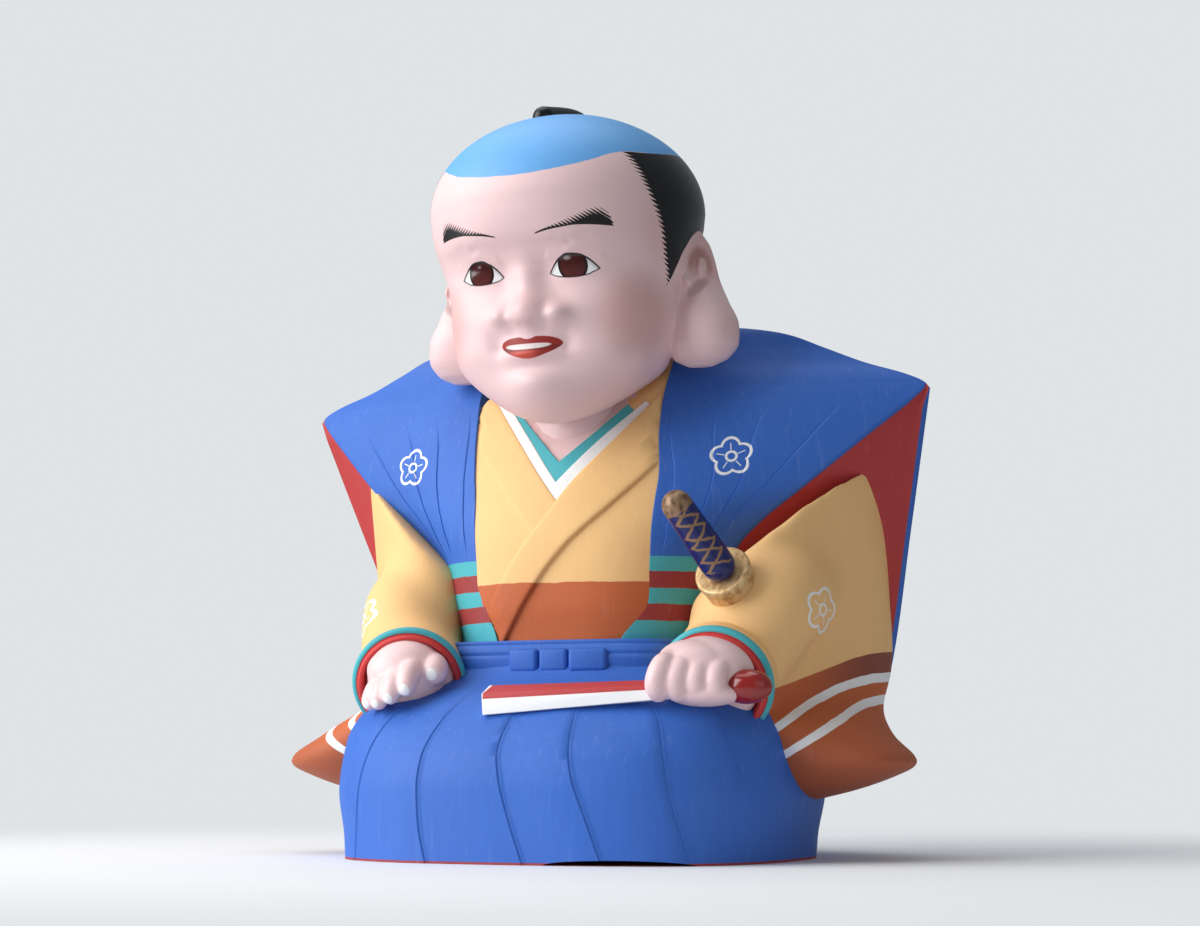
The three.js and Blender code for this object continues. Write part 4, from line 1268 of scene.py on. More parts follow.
@dataclass
class ShortSword:
    """The short sword: pommel, grip and guard, and the seat that it stands on."""

    shop: Workshop
    guard_centre: Vector = Vector((69, -42.5, 105.4))
    guard_way: Vector = Vector((-0.074, -0.867, 0.492))
    grip_way: Vector = Vector((-0.41, -0.469, 0.781))
    grip_radius: float = 6.3
    grip_length: float = 27.0
    guard_radius: float = 10.8
    guard_thickness: float = 3.6
    peg_radius: float = 5.0
    peg_length: float = 11.0
    clearance: float = 0.35

    def round_end(self, radius: float, height: float, steps: int = 10) -> list[tuple[float, float]]:
        """A quarter round from the rim at a height up to the axis."""
        angles = [math.pi / 2 * i / steps for i in range(1, steps + 1)]
        points = [(radius * math.cos(angle), height + radius * math.sin(angle)) for angle in angles]
        return points[:-1] + [(0, height + radius)]

    def foot(self) -> Vector:
        """Where the grip's straight stretch starts."""
        way = self.guard_way.normalized()
        return self.guard_centre + way * (self.grip_radius - self.guard_thickness / 4)

    def build(self) -> Piece:
        """The sword as one piece."""
        half = self.guard_thickness / 2
        cap = 0.9 * self.grip_radius
        under = [(radius, -height) for radius, height in reversed(self.round_end(self.grip_radius, 0))]
        taper = self.grip_radius - cap
        shaft = [(self.grip_radius - taper * i / 14, self.grip_length * i / 14) for i in range(15)]
        crown = self.round_end(cap, self.grip_length)
        grip = self.shop.turned(
            "grip",
            [*under, *shaft, *crown],
            self.grip_way,
            self.foot(),
            lambda height: Paint.GOLD if height > self.grip_length - 1.6 else Paint.NAVY,
            64,
        )
        radius = self.guard_radius
        rim = [(radius - 1 + math.sin(a), half * math.cos(a)) for a in np.linspace(math.pi, 0, 9)]
        face = [(radius - 2.4, half - 0.25), (0, half - 0.25)]
        disc = self.shop.turned(
            "guard", [(0, -half), *rim, *face], self.guard_way, self.guard_centre, Paint.GOLD, 72
        )
        deep, wide = -self.peg_length, self.peg_radius
        peg_outline = [(0, deep), (wide, deep), (wide, 0), (0, 0)]
        peg = self.shop.turned("peg", peg_outline, self.guard_way, self.guard_centre, Paint.GOLD, 36)
        LOG.info("short sword")
        return self.shop.joined("short_sword_finish", [grip, disc, peg])

    def seat(self) -> Piece:
        """The seat on the figure under the guard."""
        radius = 0.93 * self.guard_radius
        top = -self.guard_thickness / 2 - self.clearance
        root = -self.peg_length - 9
        outline = [(0, root), (radius, root), (radius, top - 0.6), (radius - 0.6, top), (0, top)]
        return self.shop.turned("seat", outline, self.guard_way, self.guard_centre, Paint.GOLD, 48)

    def socket(self) -> Piece:
        """The hole for the sword's peg."""
        radius = self.peg_radius + self.clearance
        depth = -self.peg_length - self.clearance
        outline = [(0, depth), (radius, depth), (radius, 20), (0, 20)]
        return self.shop.turned("socket", outline, self.guard_way, self.guard_centre, Paint.GOLD, 36)


class Term:
    """A shader value that can be reckoned with like a number."""

    def __init__(self, sheet: "Sheet", socket: bpy.types.NodeSocket) -> None:
        """Takes the sheet that the value is on and its socket."""
        self.sheet = sheet
        self.socket = socket

    def __add__(self, other: "Term | float") -> "Term":
        """The sum."""
        return self.sheet.math("ADD", self, other)

    def __sub__(self, other: "Term | float") -> "Term":
        """The difference."""
        return self.sheet.math("SUBTRACT", self, other)

    def __rsub__(self, other: float) -> "Term":
        """A number less this value."""
        return self.sheet.math("SUBTRACT", other, self)

    def __mul__(self, other: "Term | float") -> "Term":
        """The product."""
        return self.sheet.math("MULTIPLY", self, other)

    def __truediv__(self, other: "Term | float") -> "Term":
        """The quotient."""
        return self.sheet.math("DIVIDE", self, other)

    def __abs__(self) -> "Term":
        """The size without its sign."""
        return self.sheet.math("ABSOLUTE", self)

    __radd__ = __add__
    __rmul__ = __mul__


def linear(colour: Colour) -> tuple[float, float, float, float]:
    """A colour of three numbers from 0 to 255 as a shader's linear colour."""
    parts = [part / 255 for part in colour]
    straight = [part / 12.92 if part <= 0.04045 else ((part + 0.055) / 1.055) ** 2.4 for part in parts]
    return (*straight, 1.0)


class Sheet:
    """A material's nodes, laid out from formulas. Places are in shares."""

    def __init__(self, name: str, share: float) -> None:
        """Starts a material.

        Args:
            name: The material's name.
            share: Metres in one share.
        """
        self.share = share
        self.material = bpy.data.materials.new(name)
        self.material.use_nodes = True
        self.tree = self.material.node_tree
        self.shader = self.tree.nodes["Principled BSDF"]
        self.coordinates = self.tree.nodes.new("ShaderNodeTexCoord").outputs["Object"]

    def put(self, value: "Term | float | tuple", socket: bpy.types.NodeSocket) -> None:
        """Sets a socket to a number or colour, or links it to a term."""
        if isinstance(value, Term):
            self.tree.links.new(value.socket, socket)
        else:
            socket.default_value = value

    def node(self, kind: str, inputs: dict, **settings: str) -> bpy.types.Node:
        """A new node of a kind, with its settings and what its inputs hold."""
        node = self.tree.nodes.new(f"ShaderNode{kind}")
        for name, value in settings.items():
            setattr(node, name, value)
        for name, value in inputs.items():
            self.put(value, node.inputs[name])
        return node

    def math(self, operation: str, *values: "Term | float") -> Term:
        """The result of a math node."""
        return Term(self, self.node("Math", dict(enumerate(values)), operation=operation).outputs[0])

    def vector(self, scale: Sequence[float] = (1, 1, 1), turn: float = 0, pivot_y: float = 0) -> Term:
        """The place in shares times scale, then turned by turn degrees about the upright axis at pivot_y."""
        angle = math.radians(turn)
        pivot = Vector((0, pivot_y, 0))
        inputs = {
            "Rotation": (0, 0, angle),
            "Location": pivot - Matrix.Rotation(angle, 3, "Z") @ pivot,
            "Scale": tuple(part / self.share for part in scale),
            "Vector": Term(self, self.coordinates),
        }
        return Term(self, self.node("Mapping", inputs, vector_type="POINT").outputs[0])

    def place(self, turn: float = 0, pivot_y: float = 0) -> tuple[Term, Term, Term]:
        """The x, y and z of the place in shares."""
        node = self.node("SeparateXYZ", {0: self.vector(turn=turn, pivot_y=pivot_y)})
        return tuple(Term(self, output) for output in node.outputs)

    def rise(self, value: Term, low: float, high: float) -> Term:
        """A smooth rise from 0 to 1 as value goes from low to high."""
        inputs = {"Value": value, "From Min": low, "From Max": high}
        return Term(self, self.node("MapRange", inputs, interpolation_type="SMOOTHSTEP").outputs[0])

    def square(self, value: Term) -> Term:
        """A value times itself."""
        return value * value

    def over(self, value: Term, edge: "Term | float" = 0.0, soft: float = 0.14) -> Term:
        """1 where value is over the edge, 0 below it, with a soft step between."""
        return self.rise(value - edge, -soft, soft)

    def both(self, *masks: Term) -> Term:
        """Where all masks are 1."""
        total = masks[0]
        for mask in masks[1:]:
            total = total * mask
        return total

    def either(self, *masks: Term) -> Term:
        """Where any mask is 1."""
        total = masks[0]
        for mask in masks[1:]:
            total = self.math("MAXIMUM", total, mask)
        return total

    def curve(self, value: Term, pairs: Pairs) -> Term:
        """A smooth curve through (place, value) pairs, flat beyond its ends."""
        places, heights = zip(*pairs)
        low, high = min(heights), max(heights)
        node = self.tree.nodes.new("ShaderNodeFloatCurve")
        line = node.mapping.curves[0]
        for i, (place, height) in enumerate(pairs):
            spot = ((place - places[0]) / (places[-1] - places[0]), (height - low) / (high - low))
            if i < 2:
                line.points[i].location = spot
            else:
                line.points.new(*spot)
        for point in line.points:
            point.handle_type = "AUTO_CLAMPED"
        node.mapping.update()
        held = self.math("DIVIDE", value - places[0], places[-1] - places[0])
        held = self.math("MINIMUM", self.math("MAXIMUM", held, 0.0), 1.0)
        self.put(held, node.inputs["Value"])
        return Term(self, node.outputs[0]) * (high - low) + low

    def noise(self, scale: Sequence[float] | float, detail: float = 3, rough: float = 0.55) -> Term:
        """Noise from 0 to 1 with so many bumps to a share along each axis, or along all of them."""
        place = self.vector((scale,) * 3 if isinstance(scale, float) else scale)
        inputs = {"Vector": place, "Scale": 1, "Detail": detail, "Roughness": rough}
        return Term(self, self.node("TexNoise", inputs).outputs[0])

    def wobble(self, scale: float, amount: float) -> Term:
        """Coarse noise around 0 that keeps a painted edge from running straight."""
        return (self.noise(scale, 2) - 0.5) * amount

    def squares(self, *parts: Term) -> Term:
        """The sum of the parts' squares."""
        first, *others = (self.square(part) for part in parts)
        return sum(others, first)

    def reach(self, *parts: Term) -> Term:
        """The length of the arrow with these parts."""
        return self.math("SQRT", self.squares(*parts))

    def flat(self, colour: Colour) -> Term:
        """One colour all over."""
        return self.mix(0.0, colour, colour)

    def bump(self, height: Term, distance: float) -> None:
        """Raises the shader's surface by a height, over a distance in shares."""
        inputs = {"Distance": distance * self.share, "Strength": 1, "Height": height}
        self.put(Term(self, self.node("Bump", inputs).outputs[0]), self.shader.inputs["Normal"])

    def tune(self, **values: float) -> None:
        """Sets the shader's numbers; a socket's name has _ for each space."""
        for name, value in values.items():
            self.shader.inputs[name.replace("_", " ")].default_value = value

    def mix(self, mask: "Term | float", a: "Term | Colour", b: "Term | Colour") -> Term:
        """Colour a where the mask is 0 and b where it is 1."""
        first, second = (side if isinstance(side, Term) else linear(side) for side in (a, b))
        node = self.node("Mix", {0: mask, 6: first, 7: second}, data_type="RGBA")
        return Term(self, node.outputs[2])

    def brighten(self, colour: Term, amount: Term) -> Term:
        """A colour times an amount around 1."""
        return Term(self, self.node("VectorMath", {0: colour, "Scale": amount}, operation="SCALE").outputs[0])

    def blossom(
        self, x: Term, z: Term, centre: tuple[float, float], radius: float, lean: float, stretch: float
    ) -> Term:
        """A plain five-petalled flower in white line.

        Args:
            x: The place across the cloth.
            z: The place up the cloth.
            centre: The flower's middle in those two.
            radius: Its petals' reach.
            lean: How far it is turned, in degrees.
            stretch: How much wider than tall x runs, because the cloth stands askew.

        Returns:
            The mask of its lines.
        """
        across = (x - centre[0]) * stretch
        up = z - centre[1]
        distance = self.reach(across, up)
        angle = self.math("ARCTAN2", across, up) + math.radians(lean)
        petal = abs(self.math("COSINE", angle * 2.5))
        edge = petal * 0.26 * radius + 0.72 * radius
        outline = 1 - self.rise(abs(distance - edge), 0.42, 0.72)
        middle = 1 - self.rise(abs(distance - 0.24 * radius), 0.3, 0.6)
        spoke = self.both(
            1 - self.rise(self.math("SQRT", 1 - petal * petal) * distance, 0.3, 0.62),
            self.over(distance, 0.34 * radius),
            self.over(0.7 * radius - distance),
        )
        return self.either(outline, middle, spoke)

    def clay(
        self,
        colour: "Term | Colour",
        roughness: float = 0.6,
        streaks: float = 0.07,
        specks: float = 0.5,
        grain: float = 0.05,
        along: Sequence[float] = (0.55, 0.55, 0.05),
    ) -> Material:
        """Brushed paint on clay: faint streaks and clouds in the colour, pale specks, and a fine grain.

        Args:
            colour: The paint's colour.
            roughness: The shader's roughness, before its small changes.
            streaks: How strongly the brush strokes show.
            specks: How strongly the pale specks show.
            grain: The grain's height in shares.
            along: Brush strokes to a share along each axis.

        Returns:
            The finished material.
        """
        base = colour if isinstance(colour, Term) else self.flat(colour)
        brush = self.noise(along, 4, 0.6)
        cloud = self.noise(0.028, 2, 0.5)
        shade = (brush - 0.5) * (2 * streaks) + (cloud - 0.5) * (1.6 * streaks) + 1
        toned = self.brighten(base, shade)
        if specks:
            stroke = self.noise((0.4, 0.4, 0.03), 3, 0.6)
            toned = self.mix(self.rise(stroke, 0.56, 0.8) * (0.15 * specks), toned, PALE_STROKE)
            fine = self.noise((0.55, 0.55, 0.3), 1.5, 0.5)
            toned = self.mix(self.rise(fine, 0.78, 0.83) * (0.5 * specks), toned, PALE_SPECK)
        self.put(toned, self.shader.inputs["Base Color"])
        fine_grain = self.noise(1.1, 3, 0.6)
        rough = (fine_grain - 0.5) * 0.16 + (brush - 0.5) * 0.1 + roughness
        self.put(rough, self.shader.inputs["Roughness"])
        self.bump(fine_grain + brush * 1.2, grain)
        self.tune(Specular_IOR_Level=0.35)
        return self.material


@dataclass(frozen=True)
class Palette:
    """The paints' colours, as a brush would lay them under white light; a few on the head are painted shade
    and painted highlights.
    """

    blue: Colour = (52, 102, 190)
    red: Colour = (184, 62, 62)
    dull_red: Colour = (152, 56, 58)
    teal: Colour = (72, 174, 184)
    yellow: Colour = (242, 194, 132)
    orange: Colour = (194, 100, 56)
    brown: Colour = (136, 74, 58)
    white: Colour = (238, 238, 238)
    skin: Colour = (234, 201, 201)
    blush_and_shade: Colour = (206, 138, 124)
    scalp: Colour = (98, 166, 228)
    black: Colour = (12, 12, 14)
    iris: Colour = (62, 14, 12)
    lip: Colour = (150, 38, 32)
    gold: Colour = (220, 186, 136)
    navy: Colour = (16, 26, 92)
    lacquer: Colour = (142, 24, 20)
    rim_red: Colour = (206, 62, 60)
    nail: Colour = (246, 244, 240)
    pommel: Colour = (158, 128, 98)
    gold_dark: Colour = (176, 132, 84)
    pommel_dark: Colour = (104, 78, 58)
    cord: Colour = (140, 106, 74)
    painted_ear_shade: Colour = (112, 74, 70)
    iris_light: Colour = (84, 36, 34)
    iris_edge: Colour = (14, 6, 6)
    glint: Colour = (190, 176, 178)
    painted_lid_shade: Colour = (176, 172, 176)
    eye_white: Colour = (240, 240, 240)
    lash: Colour = (30, 18, 20)
    lip_painted_highlight: Colour = (206, 76, 58)
    lip_dark: Colour = (92, 18, 16)
    teeth: Colour = (228, 214, 212)


@dataclass(frozen=True)
class Finishes:
    """The doll's finishes, one to each paint.

    Attributes:
        share: Metres in one share.
        palette: The colours.
    """

    share: float
    palette: Palette = Palette()

    orange_top = 103.6
    stripe_edges = (113.2, 107.6, 101.3, 95.4, 89.1)
    nails = (
        (-65.6, -68.6, 57.6, 1.9),
        (-59.6, -73.0, 57.6, 2.0),
        (-53.5, -74.2, 59.2, 2.4),
        (-47.4, -72.8, 62.4, 2.6),
        (-40.4, -65.0, 68.6, 3.0),
    )

    def hakama(self) -> Material:
        """Blue cloth with a thin red line along the hem."""
        sheet = Sheet("hakama_blue", self.share)
        _, _, z = sheet.place()
        colour = sheet.mix(sheet.over(0.9 - z, 0.0, 0.2), self.palette.blue, self.palette.dull_red)
        return sheet.clay(colour, 0.58, 0.1, 0.45)

    def mantle(self) -> Material:
        """Blue wings with a white flower on each, and teal and red stripes across the straps' feet."""
        sheet = Sheet("mantle_blue", self.share)
        x, y, z = sheet.place()
        flowers = sheet.either(
            sheet.blossom(x, z, (64.2, 151.6), 7.6, 8, 1.0),
            sheet.blossom(x, z, (-72.9, 153.8), 7.6, -6, 1.0),
        )
        ahead = sheet.over(6.0 - y, 0.0, 1.0)
        colour = sheet.mix(sheet.both(flowers, ahead), self.palette.blue, self.palette.white)
        wobble = sheet.wobble(0.16, 0.9)
        level = z + wobble
        striped = colour
        for number, edge in enumerate(self.stripe_edges):
            paint = self.palette.teal if number % 2 == 0 else self.palette.dull_red
            striped = sheet.mix(sheet.over(edge - level), striped, paint)
        front_only = sheet.both(sheet.over(2.0 - y), sheet.over(72.0 - abs(x)))
        return sheet.clay(sheet.mix(front_only, colour, striped), 0.58, 0.1, 0.45)

    def lining(self) -> Material:
        """The red wall between the panels' edges."""
        return Sheet("lining_red", self.share).clay(self.palette.red, 0.6, 0.08, 0.25)

    def robe(self) -> Material:
        """Yellow above an orange band."""
        sheet = Sheet("robe_yellow", self.share)
        _, _, z = sheet.place()
        wobble = sheet.wobble(0.12, 1.2)
        mask = sheet.over(self.orange_top - z + wobble)
        return sheet.clay(sheet.mix(mask, self.palette.yellow, self.palette.orange), 0.62, 0.05, 0.2)

    def sleeve(self) -> Material:
        """Yellow, then a brown band, and orange with two white stripes at the sleeve's foot."""
        sheet = Sheet("sleeve_yellow", self.share)
        x, y, z = sheet.place()
        wobble = sheet.wobble(0.1, 0.8)
        level = z + wobble
        turned = abs(x) * SEEN_X + y * SEEN_Y
        yellow_foot = sheet.curve(turned, [(60, 61), (66, 63), (90, 72), (104, 77), (117, 79.2)])
        stripe_one = sheet.curve(turned, [(60, 44), (65, 47.6), (88, 61.8), (104, 67.5), (117, 69.5)])
        stripe_two = sheet.curve(turned, [(60, 32), (69, 38.6), (91, 51.9), (104, 58.5), (117, 61.3)])
        stripes = sheet.either(
            *(1 - sheet.rise(abs(level - stripe), 1.65, 1.95) for stripe in (stripe_one, stripe_two))
        )
        band = sheet.mix(sheet.rise(turned, 72, 110), self.palette.orange, self.palette.brown)
        foot = sheet.mix(sheet.over(stripe_one - level, 0.0, 0.6), band, self.palette.orange)
        foot = sheet.mix(sheet.rise(z, 54, 36) * 0.45, foot, self.palette.brown)
        foot = sheet.mix(stripes, foot, self.palette.white)
        low = sheet.over(yellow_foot - level)
        colour = sheet.mix(low, self.palette.yellow, foot)
        flowers = sheet.either(
            sheet.both(
                sheet.blossom(x * 0.75 + y * 0.55, z, (65.0, 92.5), 8.4, -14, 1.0), sheet.over(x, 60.0)
            ),
            sheet.both(sheet.blossom(y, z, (-36.0, 92.0), 7.4, 14, 1.2), sheet.over(-70.0 - x)),
        )
        return sheet.clay(sheet.mix(flowers, colour, self.palette.white), 0.62, 0.05, 0.15)

    def skin(self) -> Material:
        """The hands and the neck, with white nails on the open hand."""
        sheet = Sheet("skin", self.share)
        x, y, z = sheet.place()
        masks = []
        for nail_x, nail_y, nail_z, radius in self.nails:
            parts = [(x - nail_x) / radius, (y - nail_y) / (1.4 * radius), (z - nail_z) / (1.15 * radius)]
            masks.append(1 - sheet.rise(sheet.squares(*parts), 0.85, 1.15))
        colour = sheet.mix(sheet.either(*masks), self.palette.skin, self.palette.nail)
        return self.satin(sheet, colour)

    def satin(self, sheet: Sheet, colour: Term) -> Material:
        """Skin paint: smoother and a little shinier than the cloth."""
        cloud = sheet.noise(0.05, 3, 0.5)
        grain = sheet.noise(0.8, 3, 0.6)
        toned = sheet.brighten(colour, (cloud - 0.5) * 0.07 + (grain - 0.5) * 0.03 + 1)
        sheet.put(toned, sheet.shader.inputs["Base Color"])
        sheet.put((grain - 0.5) * 0.1 + 0.4, sheet.shader.inputs["Roughness"])
        sheet.bump(grain, 0.03)
        sheet.tune(Specular_IOR_Level=0.45)
        return sheet.material

    def head(self) -> Material:
        """The painted head: skin, shaved pate, hair, brows, eyes and mouth."""
        return HeadPaint(self.share, self.palette).material()

    def fan(self) -> Material:
        """White paper with a red top edge."""
        sheet = Sheet("fan_paper", self.share)
        x, y, z = sheet.place()
        along = (x - FAN_TIP_X) / FAN_LENGTH
        mask = sheet.over(z - (59.1 + along * 4.2))
        colour = sheet.mix(mask, self.palette.white, self.palette.red)
        end = sheet.over(-12.2 - x, 0.0, 0.2)
        colour = sheet.mix(end, colour, self.palette.white)
        return sheet.clay(colour, 0.5, 0.05, 0.1, along=(0.04, 0.5, 0.5))

    def lacquer(self) -> Material:
        """Glossy red."""
        sheet = Sheet("lacquer_red", self.share)
        material = sheet.clay(self.palette.lacquer, 0.2, 0.12, 0.0, 0.03)
        sheet.tune(Coat_Weight=0.6, Coat_Roughness=0.12)
        return material

    def gold(self) -> Material:
        """Brushed gold paint over brown."""
        sheet = Sheet("gold_paint", self.share)
        _, _, z = sheet.place()
        brush = sheet.noise((0.5, 0.2, 0.35), 3, 0.55)
        pommel = sheet.rise(z, 116.0, 122.0)
        bright = sheet.mix(pommel, self.palette.gold, self.palette.pommel)
        dark = sheet.mix(pommel, self.palette.gold_dark, self.palette.pommel_dark)
        colour = sheet.mix(sheet.rise(brush, 0.62, 0.3), bright, dark)
        material = sheet.clay(colour, 0.36, 0.05, 0.0, 0.05, (0.5, 0.2, 0.35))
        sheet.tune(Metallic=0.35)
        return material

    def navy(self, sword: "ShortSword") -> Material:
        """Navy lacquer with crossed strokes of brown gold on the outer side of the grip."""
        sheet = Sheet("grip_navy", self.share)
        axis = sword.grip_way.normalized()
        ahead = (sword.guard_way - axis * sword.guard_way.dot(axis)).normalized()
        aside = ahead.cross(axis)
        x, y, z = sheet.place()
        foot = sword.foot()

        def along(way: Vector) -> Term:
            return (x - foot.x) * way.x + (y - foot.y) * way.y + (z - foot.z) * way.z

        height, out, side = along(axis), along(ahead), along(aside)
        angle = sheet.math("ARCTAN2", side, out)
        pitch = 10.6
        wobble = sheet.wobble(0.3, 1.8)
        masks = []
        for hand in (1.0, -1.0):
            zigzag = sheet.math("PINGPONG", height + wobble + 0.4 * hand, pitch / 2)
            swing = (zigzag - pitch / 4) * (2.0 * hand) * 0.16
            masks.append(1 - sheet.rise(abs(angle - swing), 0.15, 0.23))
        shown = sheet.both(sheet.over(height, -0.5, 0.6), sheet.over(25.0 - height, 0.0, 0.6))
        mask = sheet.both(sheet.either(*masks), shown)
        colour = sheet.mix(mask, self.palette.navy, self.palette.cord)
        material = sheet.clay(colour, 0.3, 0.12, 0.0, 0.05)
        sheet.tune(Coat_Weight=0.25, Coat_Roughness=0.2)
        return material

    def plain(self, name: str, colour: Colour, roughness: float = 0.58) -> Material:
        """A rim or a collar of one colour."""
        return Sheet(name, self.share).clay(colour, roughness, 0.06, 0.1)

    def all(self, sword: "ShortSword") -> list[Material]:
        """The materials in the order of the slots."""
        made = {
            Paint.HAKAMA: self.hakama(),
            Paint.MANTLE: self.mantle(),
            Paint.LINING: self.lining(),
            Paint.ROBE: self.robe(),
            Paint.SLEEVE: self.sleeve(),
            Paint.TEAL: self.plain("rim_teal", self.palette.teal),
            Paint.RED: self.plain("rim_red", self.palette.rim_red),
            Paint.WHITE: self.plain("collar_white", self.palette.white),
            Paint.SKIN: self.skin(),
            Paint.HEAD: self.head(),
            Paint.FAN: self.fan(),
            Paint.LACQUER: self.lacquer(),
            Paint.GOLD: self.gold(),
            Paint.NAVY: self.navy(sword),
            Paint.HAIR: self.plain("knot_black", self.palette.black, 0.3),
        }
        return [made[paint] for paint in Paint]


@dataclass(frozen=True)
class HeadPaint:
    """The paint of the head.

    Attributes:
        share: Metres in one share.
        palette: The colours.
    """

    share: float
    palette: Palette

    scalp_edge = (
        (-78, 253.4), (-75.9, 254.2), (-74.5, 255.0), (-70.7, 257.0), (-66.3, 259.5), (-61.2, 262.0),
        (-56.5, 263.2), (-50.8, 263.6), (-42, 264.8), (-32, 266.6), (-10, 269.5), (14, 272),
    )
    hair_front = (
        (214, -33.5), (218, -34.6), (224.9, -38.4), (230.8, -41.9), (238.9, -46.7), (244, -49.9),
        (251, -53.7), (258.4, -55.6), (264, -57),
    )
    hair_foot = (
        (-40, 212), (-34.6, 217), (-31.7, 224), (-29.5, 230), (-22.5, 238), (-14, 240), (-6, 236),
        (1, 216), (6, 202), (14, 194), (30, 190),
    )
    upper_lid = (
        (9.7, 218.4), (12.5, 221.7), (15, 223.4), (18.5, 224.6), (22, 224.4), (25, 223.1), (27, 221.4),
        (28.9, 219.3),
    )
    lower_lid = ((9.7, 218.4), (13.5, 216.9), (19, 216.4), (24, 217.0), (26.5, 218), (28.9, 219.3))
    brow_top = (
        (8.4, 232.0), (14, 233.7), (19.5, 235.4), (24, 237.3), (28, 239), (31.5, 240.1), (34.5, 238.9),
        (35.9, 236), (36.2, 234.2),
    )
    brow_foot = ((8.4, 231.8), (14, 232.9), (19.5, 233.7), (24, 234.3), (29, 234.4), (36.2, 234.2))
    lip_top = (
        (0, 193.7), (1.5, 194.0), (4, 194.7), (7.5, 194.6), (10.5, 194.0), (12.2, 193.1), (12.8, 192.1),
    )
    lip_foot = ((0, 186.4), (3, 186.8), (6, 187.7), (9, 189), (11.2, 190.4), (12.4, 191.4), (12.8, 192.1))
    teeth_top = ((0, 192.0), (7, 192.1), (9.0, 191.9), (9.7, 191.5))
    teeth_foot = ((0, 189.9), (5, 190.2), (8, 190.8), (9.7, 191.5))

    def material(self) -> Material:
        """All the head's paint in one material."""
        sheet = Sheet("head_paint", self.share)
        x, y, z = sheet.place(turn=-HEAD_TURN, pivot_y=HEAD_MIDDLE_Y)
        colour = self.skin(sheet, x, y, z)
        hair = self.hair(sheet, x, y, z)
        colour = sheet.mix(self.brows(sheet, abs(x), y, z), colour, self.palette.black)
        colour = self.lips(sheet, x, y, z, colour)
        colour, wet = self.eyes(sheet, x, y, z, colour)
        colour = sheet.mix(self.scalp(sheet, y, z), colour, self.scalp_colour(sheet))
        colour = sheet.mix(hair, colour, self.palette.black)
        return self.finished(sheet, colour, hair, wet)

    def skin(self, sheet: Sheet, x: Term, y: Term, z: Term) -> Term:
        """Skin, rosy on cheeks, lobes and nose tip; painted shade on the upper ears, temples and ear grooves.
        """
        colour = sheet.flat(self.palette.skin)
        # Painted shade: the ear's curved groove and its hollow are darkened on top of their carved relief.
        seen = abs(x) * SEEN_X + y * SEEN_Y
        ring = sheet.reach((seen - 41.5) / 3.6, (z - 224.3) / 6.5)
        groove = (1 - sheet.rise(abs(ring - 1), 0.1, 0.5)) * sheet.rise(z, 219, 226)
        along = (seen - 40.3) * 0.74 + (z - 216) * 0.67
        beside = (z - 216) * 0.74 - (seen - 40.3) * 0.67
        hollow = 1 - sheet.rise(sheet.squares(along / 6, beside / 2.4), 0.1, 1.4)
        on_ear = sheet.over(abs(x), 46.0, 1.0)
        shaded = sheet.both(sheet.either(groove, hollow), on_ear) * 0.5
        colour = sheet.mix(shaded, colour, self.palette.painted_ear_shade)
        # Rosy spots on the cheeks, the ear lobes and the nose tip; the spots on the upper ears and the sides
        # of the forehead are painted shade in the same colour.
        for across, depth, height, wide, strength in (
            (38, -46, 203, 17, 0.45),
            (52, -16, 228, 13, 0.4),
            (46, -40, 238, 15, 0.25),
            (56, -14, 201, 11, 0.5),
            (0, -70, 205, 9, 0.12),
        ):
            parts = [(abs(x) - across) / wide, (y - depth) / wide, (z - height) / wide]
            spot = 1 - sheet.rise(sheet.squares(*parts), 0.0, 1.5)
            colour = sheet.mix(spot * strength, colour, self.palette.blush_and_shade)
        return colour

    def scalp(self, sheet: Sheet, y: Term, z: Term) -> Term:
        """The shaved pate."""
        wobble = sheet.wobble(0.12, 0.8)
        above = sheet.over(z + wobble, sheet.curve(y, self.scalp_edge))
        return sheet.both(above, sheet.over(12.0 - y))

    def scalp_colour(self, sheet: Sheet) -> Term:
        """Sky blue with faint brush marks."""
        brush = sheet.noise((0.06, 0.4, 0.4), 3)
        return sheet.brighten(sheet.flat(self.palette.scalp), (brush - 0.5) * 0.16 + 1)

    def hair(self, sheet: Sheet, x: Term, y: Term, z: Term) -> Term:
        """Black hair on the sides and the back, with a fringe of short strokes in front."""
        strokes = sheet.math("PINGPONG", z + y * 0.35 + sheet.wobble(0.25, 0.7), 0.72)
        reach = sheet.noise(0.6, 2)
        fringe = strokes * (reach * 3.4 + 1.9)
        edge = sheet.curve(z, self.hair_front)
        behind = sheet.over(y + fringe, edge + 0.6, 0.12)
        above = sheet.over(z + strokes * 1.2, sheet.curve(y, self.hair_foot), 0.25)
        below = sheet.over(sheet.curve(y, self.scalp_edge) - z)
        back = sheet.over(y, 12.0)
        on_skull = sheet.over(54.5 - abs(x), 0.0, 0.5)
        return sheet.both(behind, above, sheet.either(below, back), on_skull)

    def brows(self, sheet: Sheet, across: Term, y: Term, z: Term) -> Term:
        """Tapered brows with fine strokes along the top."""
        strokes = sheet.math("PINGPONG", across * 0.6 + z * 0.8 + sheet.noise(0.2, 2) * 0.6, 0.55)
        tuft = strokes * sheet.rise(across, 11.0, 24.0) * 5.4
        top = sheet.curve(across, self.brow_top) + sheet.rise(across, 11.0, 22.0) * 0.7
        below_top = sheet.over(top - tuft - z, -0.1, 0.14)
        above_foot = sheet.over(z - sheet.curve(across, self.brow_foot), -0.1, 0.14)
        inside = sheet.both(sheet.over(across, 8.4, 0.3), sheet.over(36.3 - across, 0.0, 0.3))
        return sheet.both(below_top, above_foot, inside, sheet.over(FACE_END_Y - y))

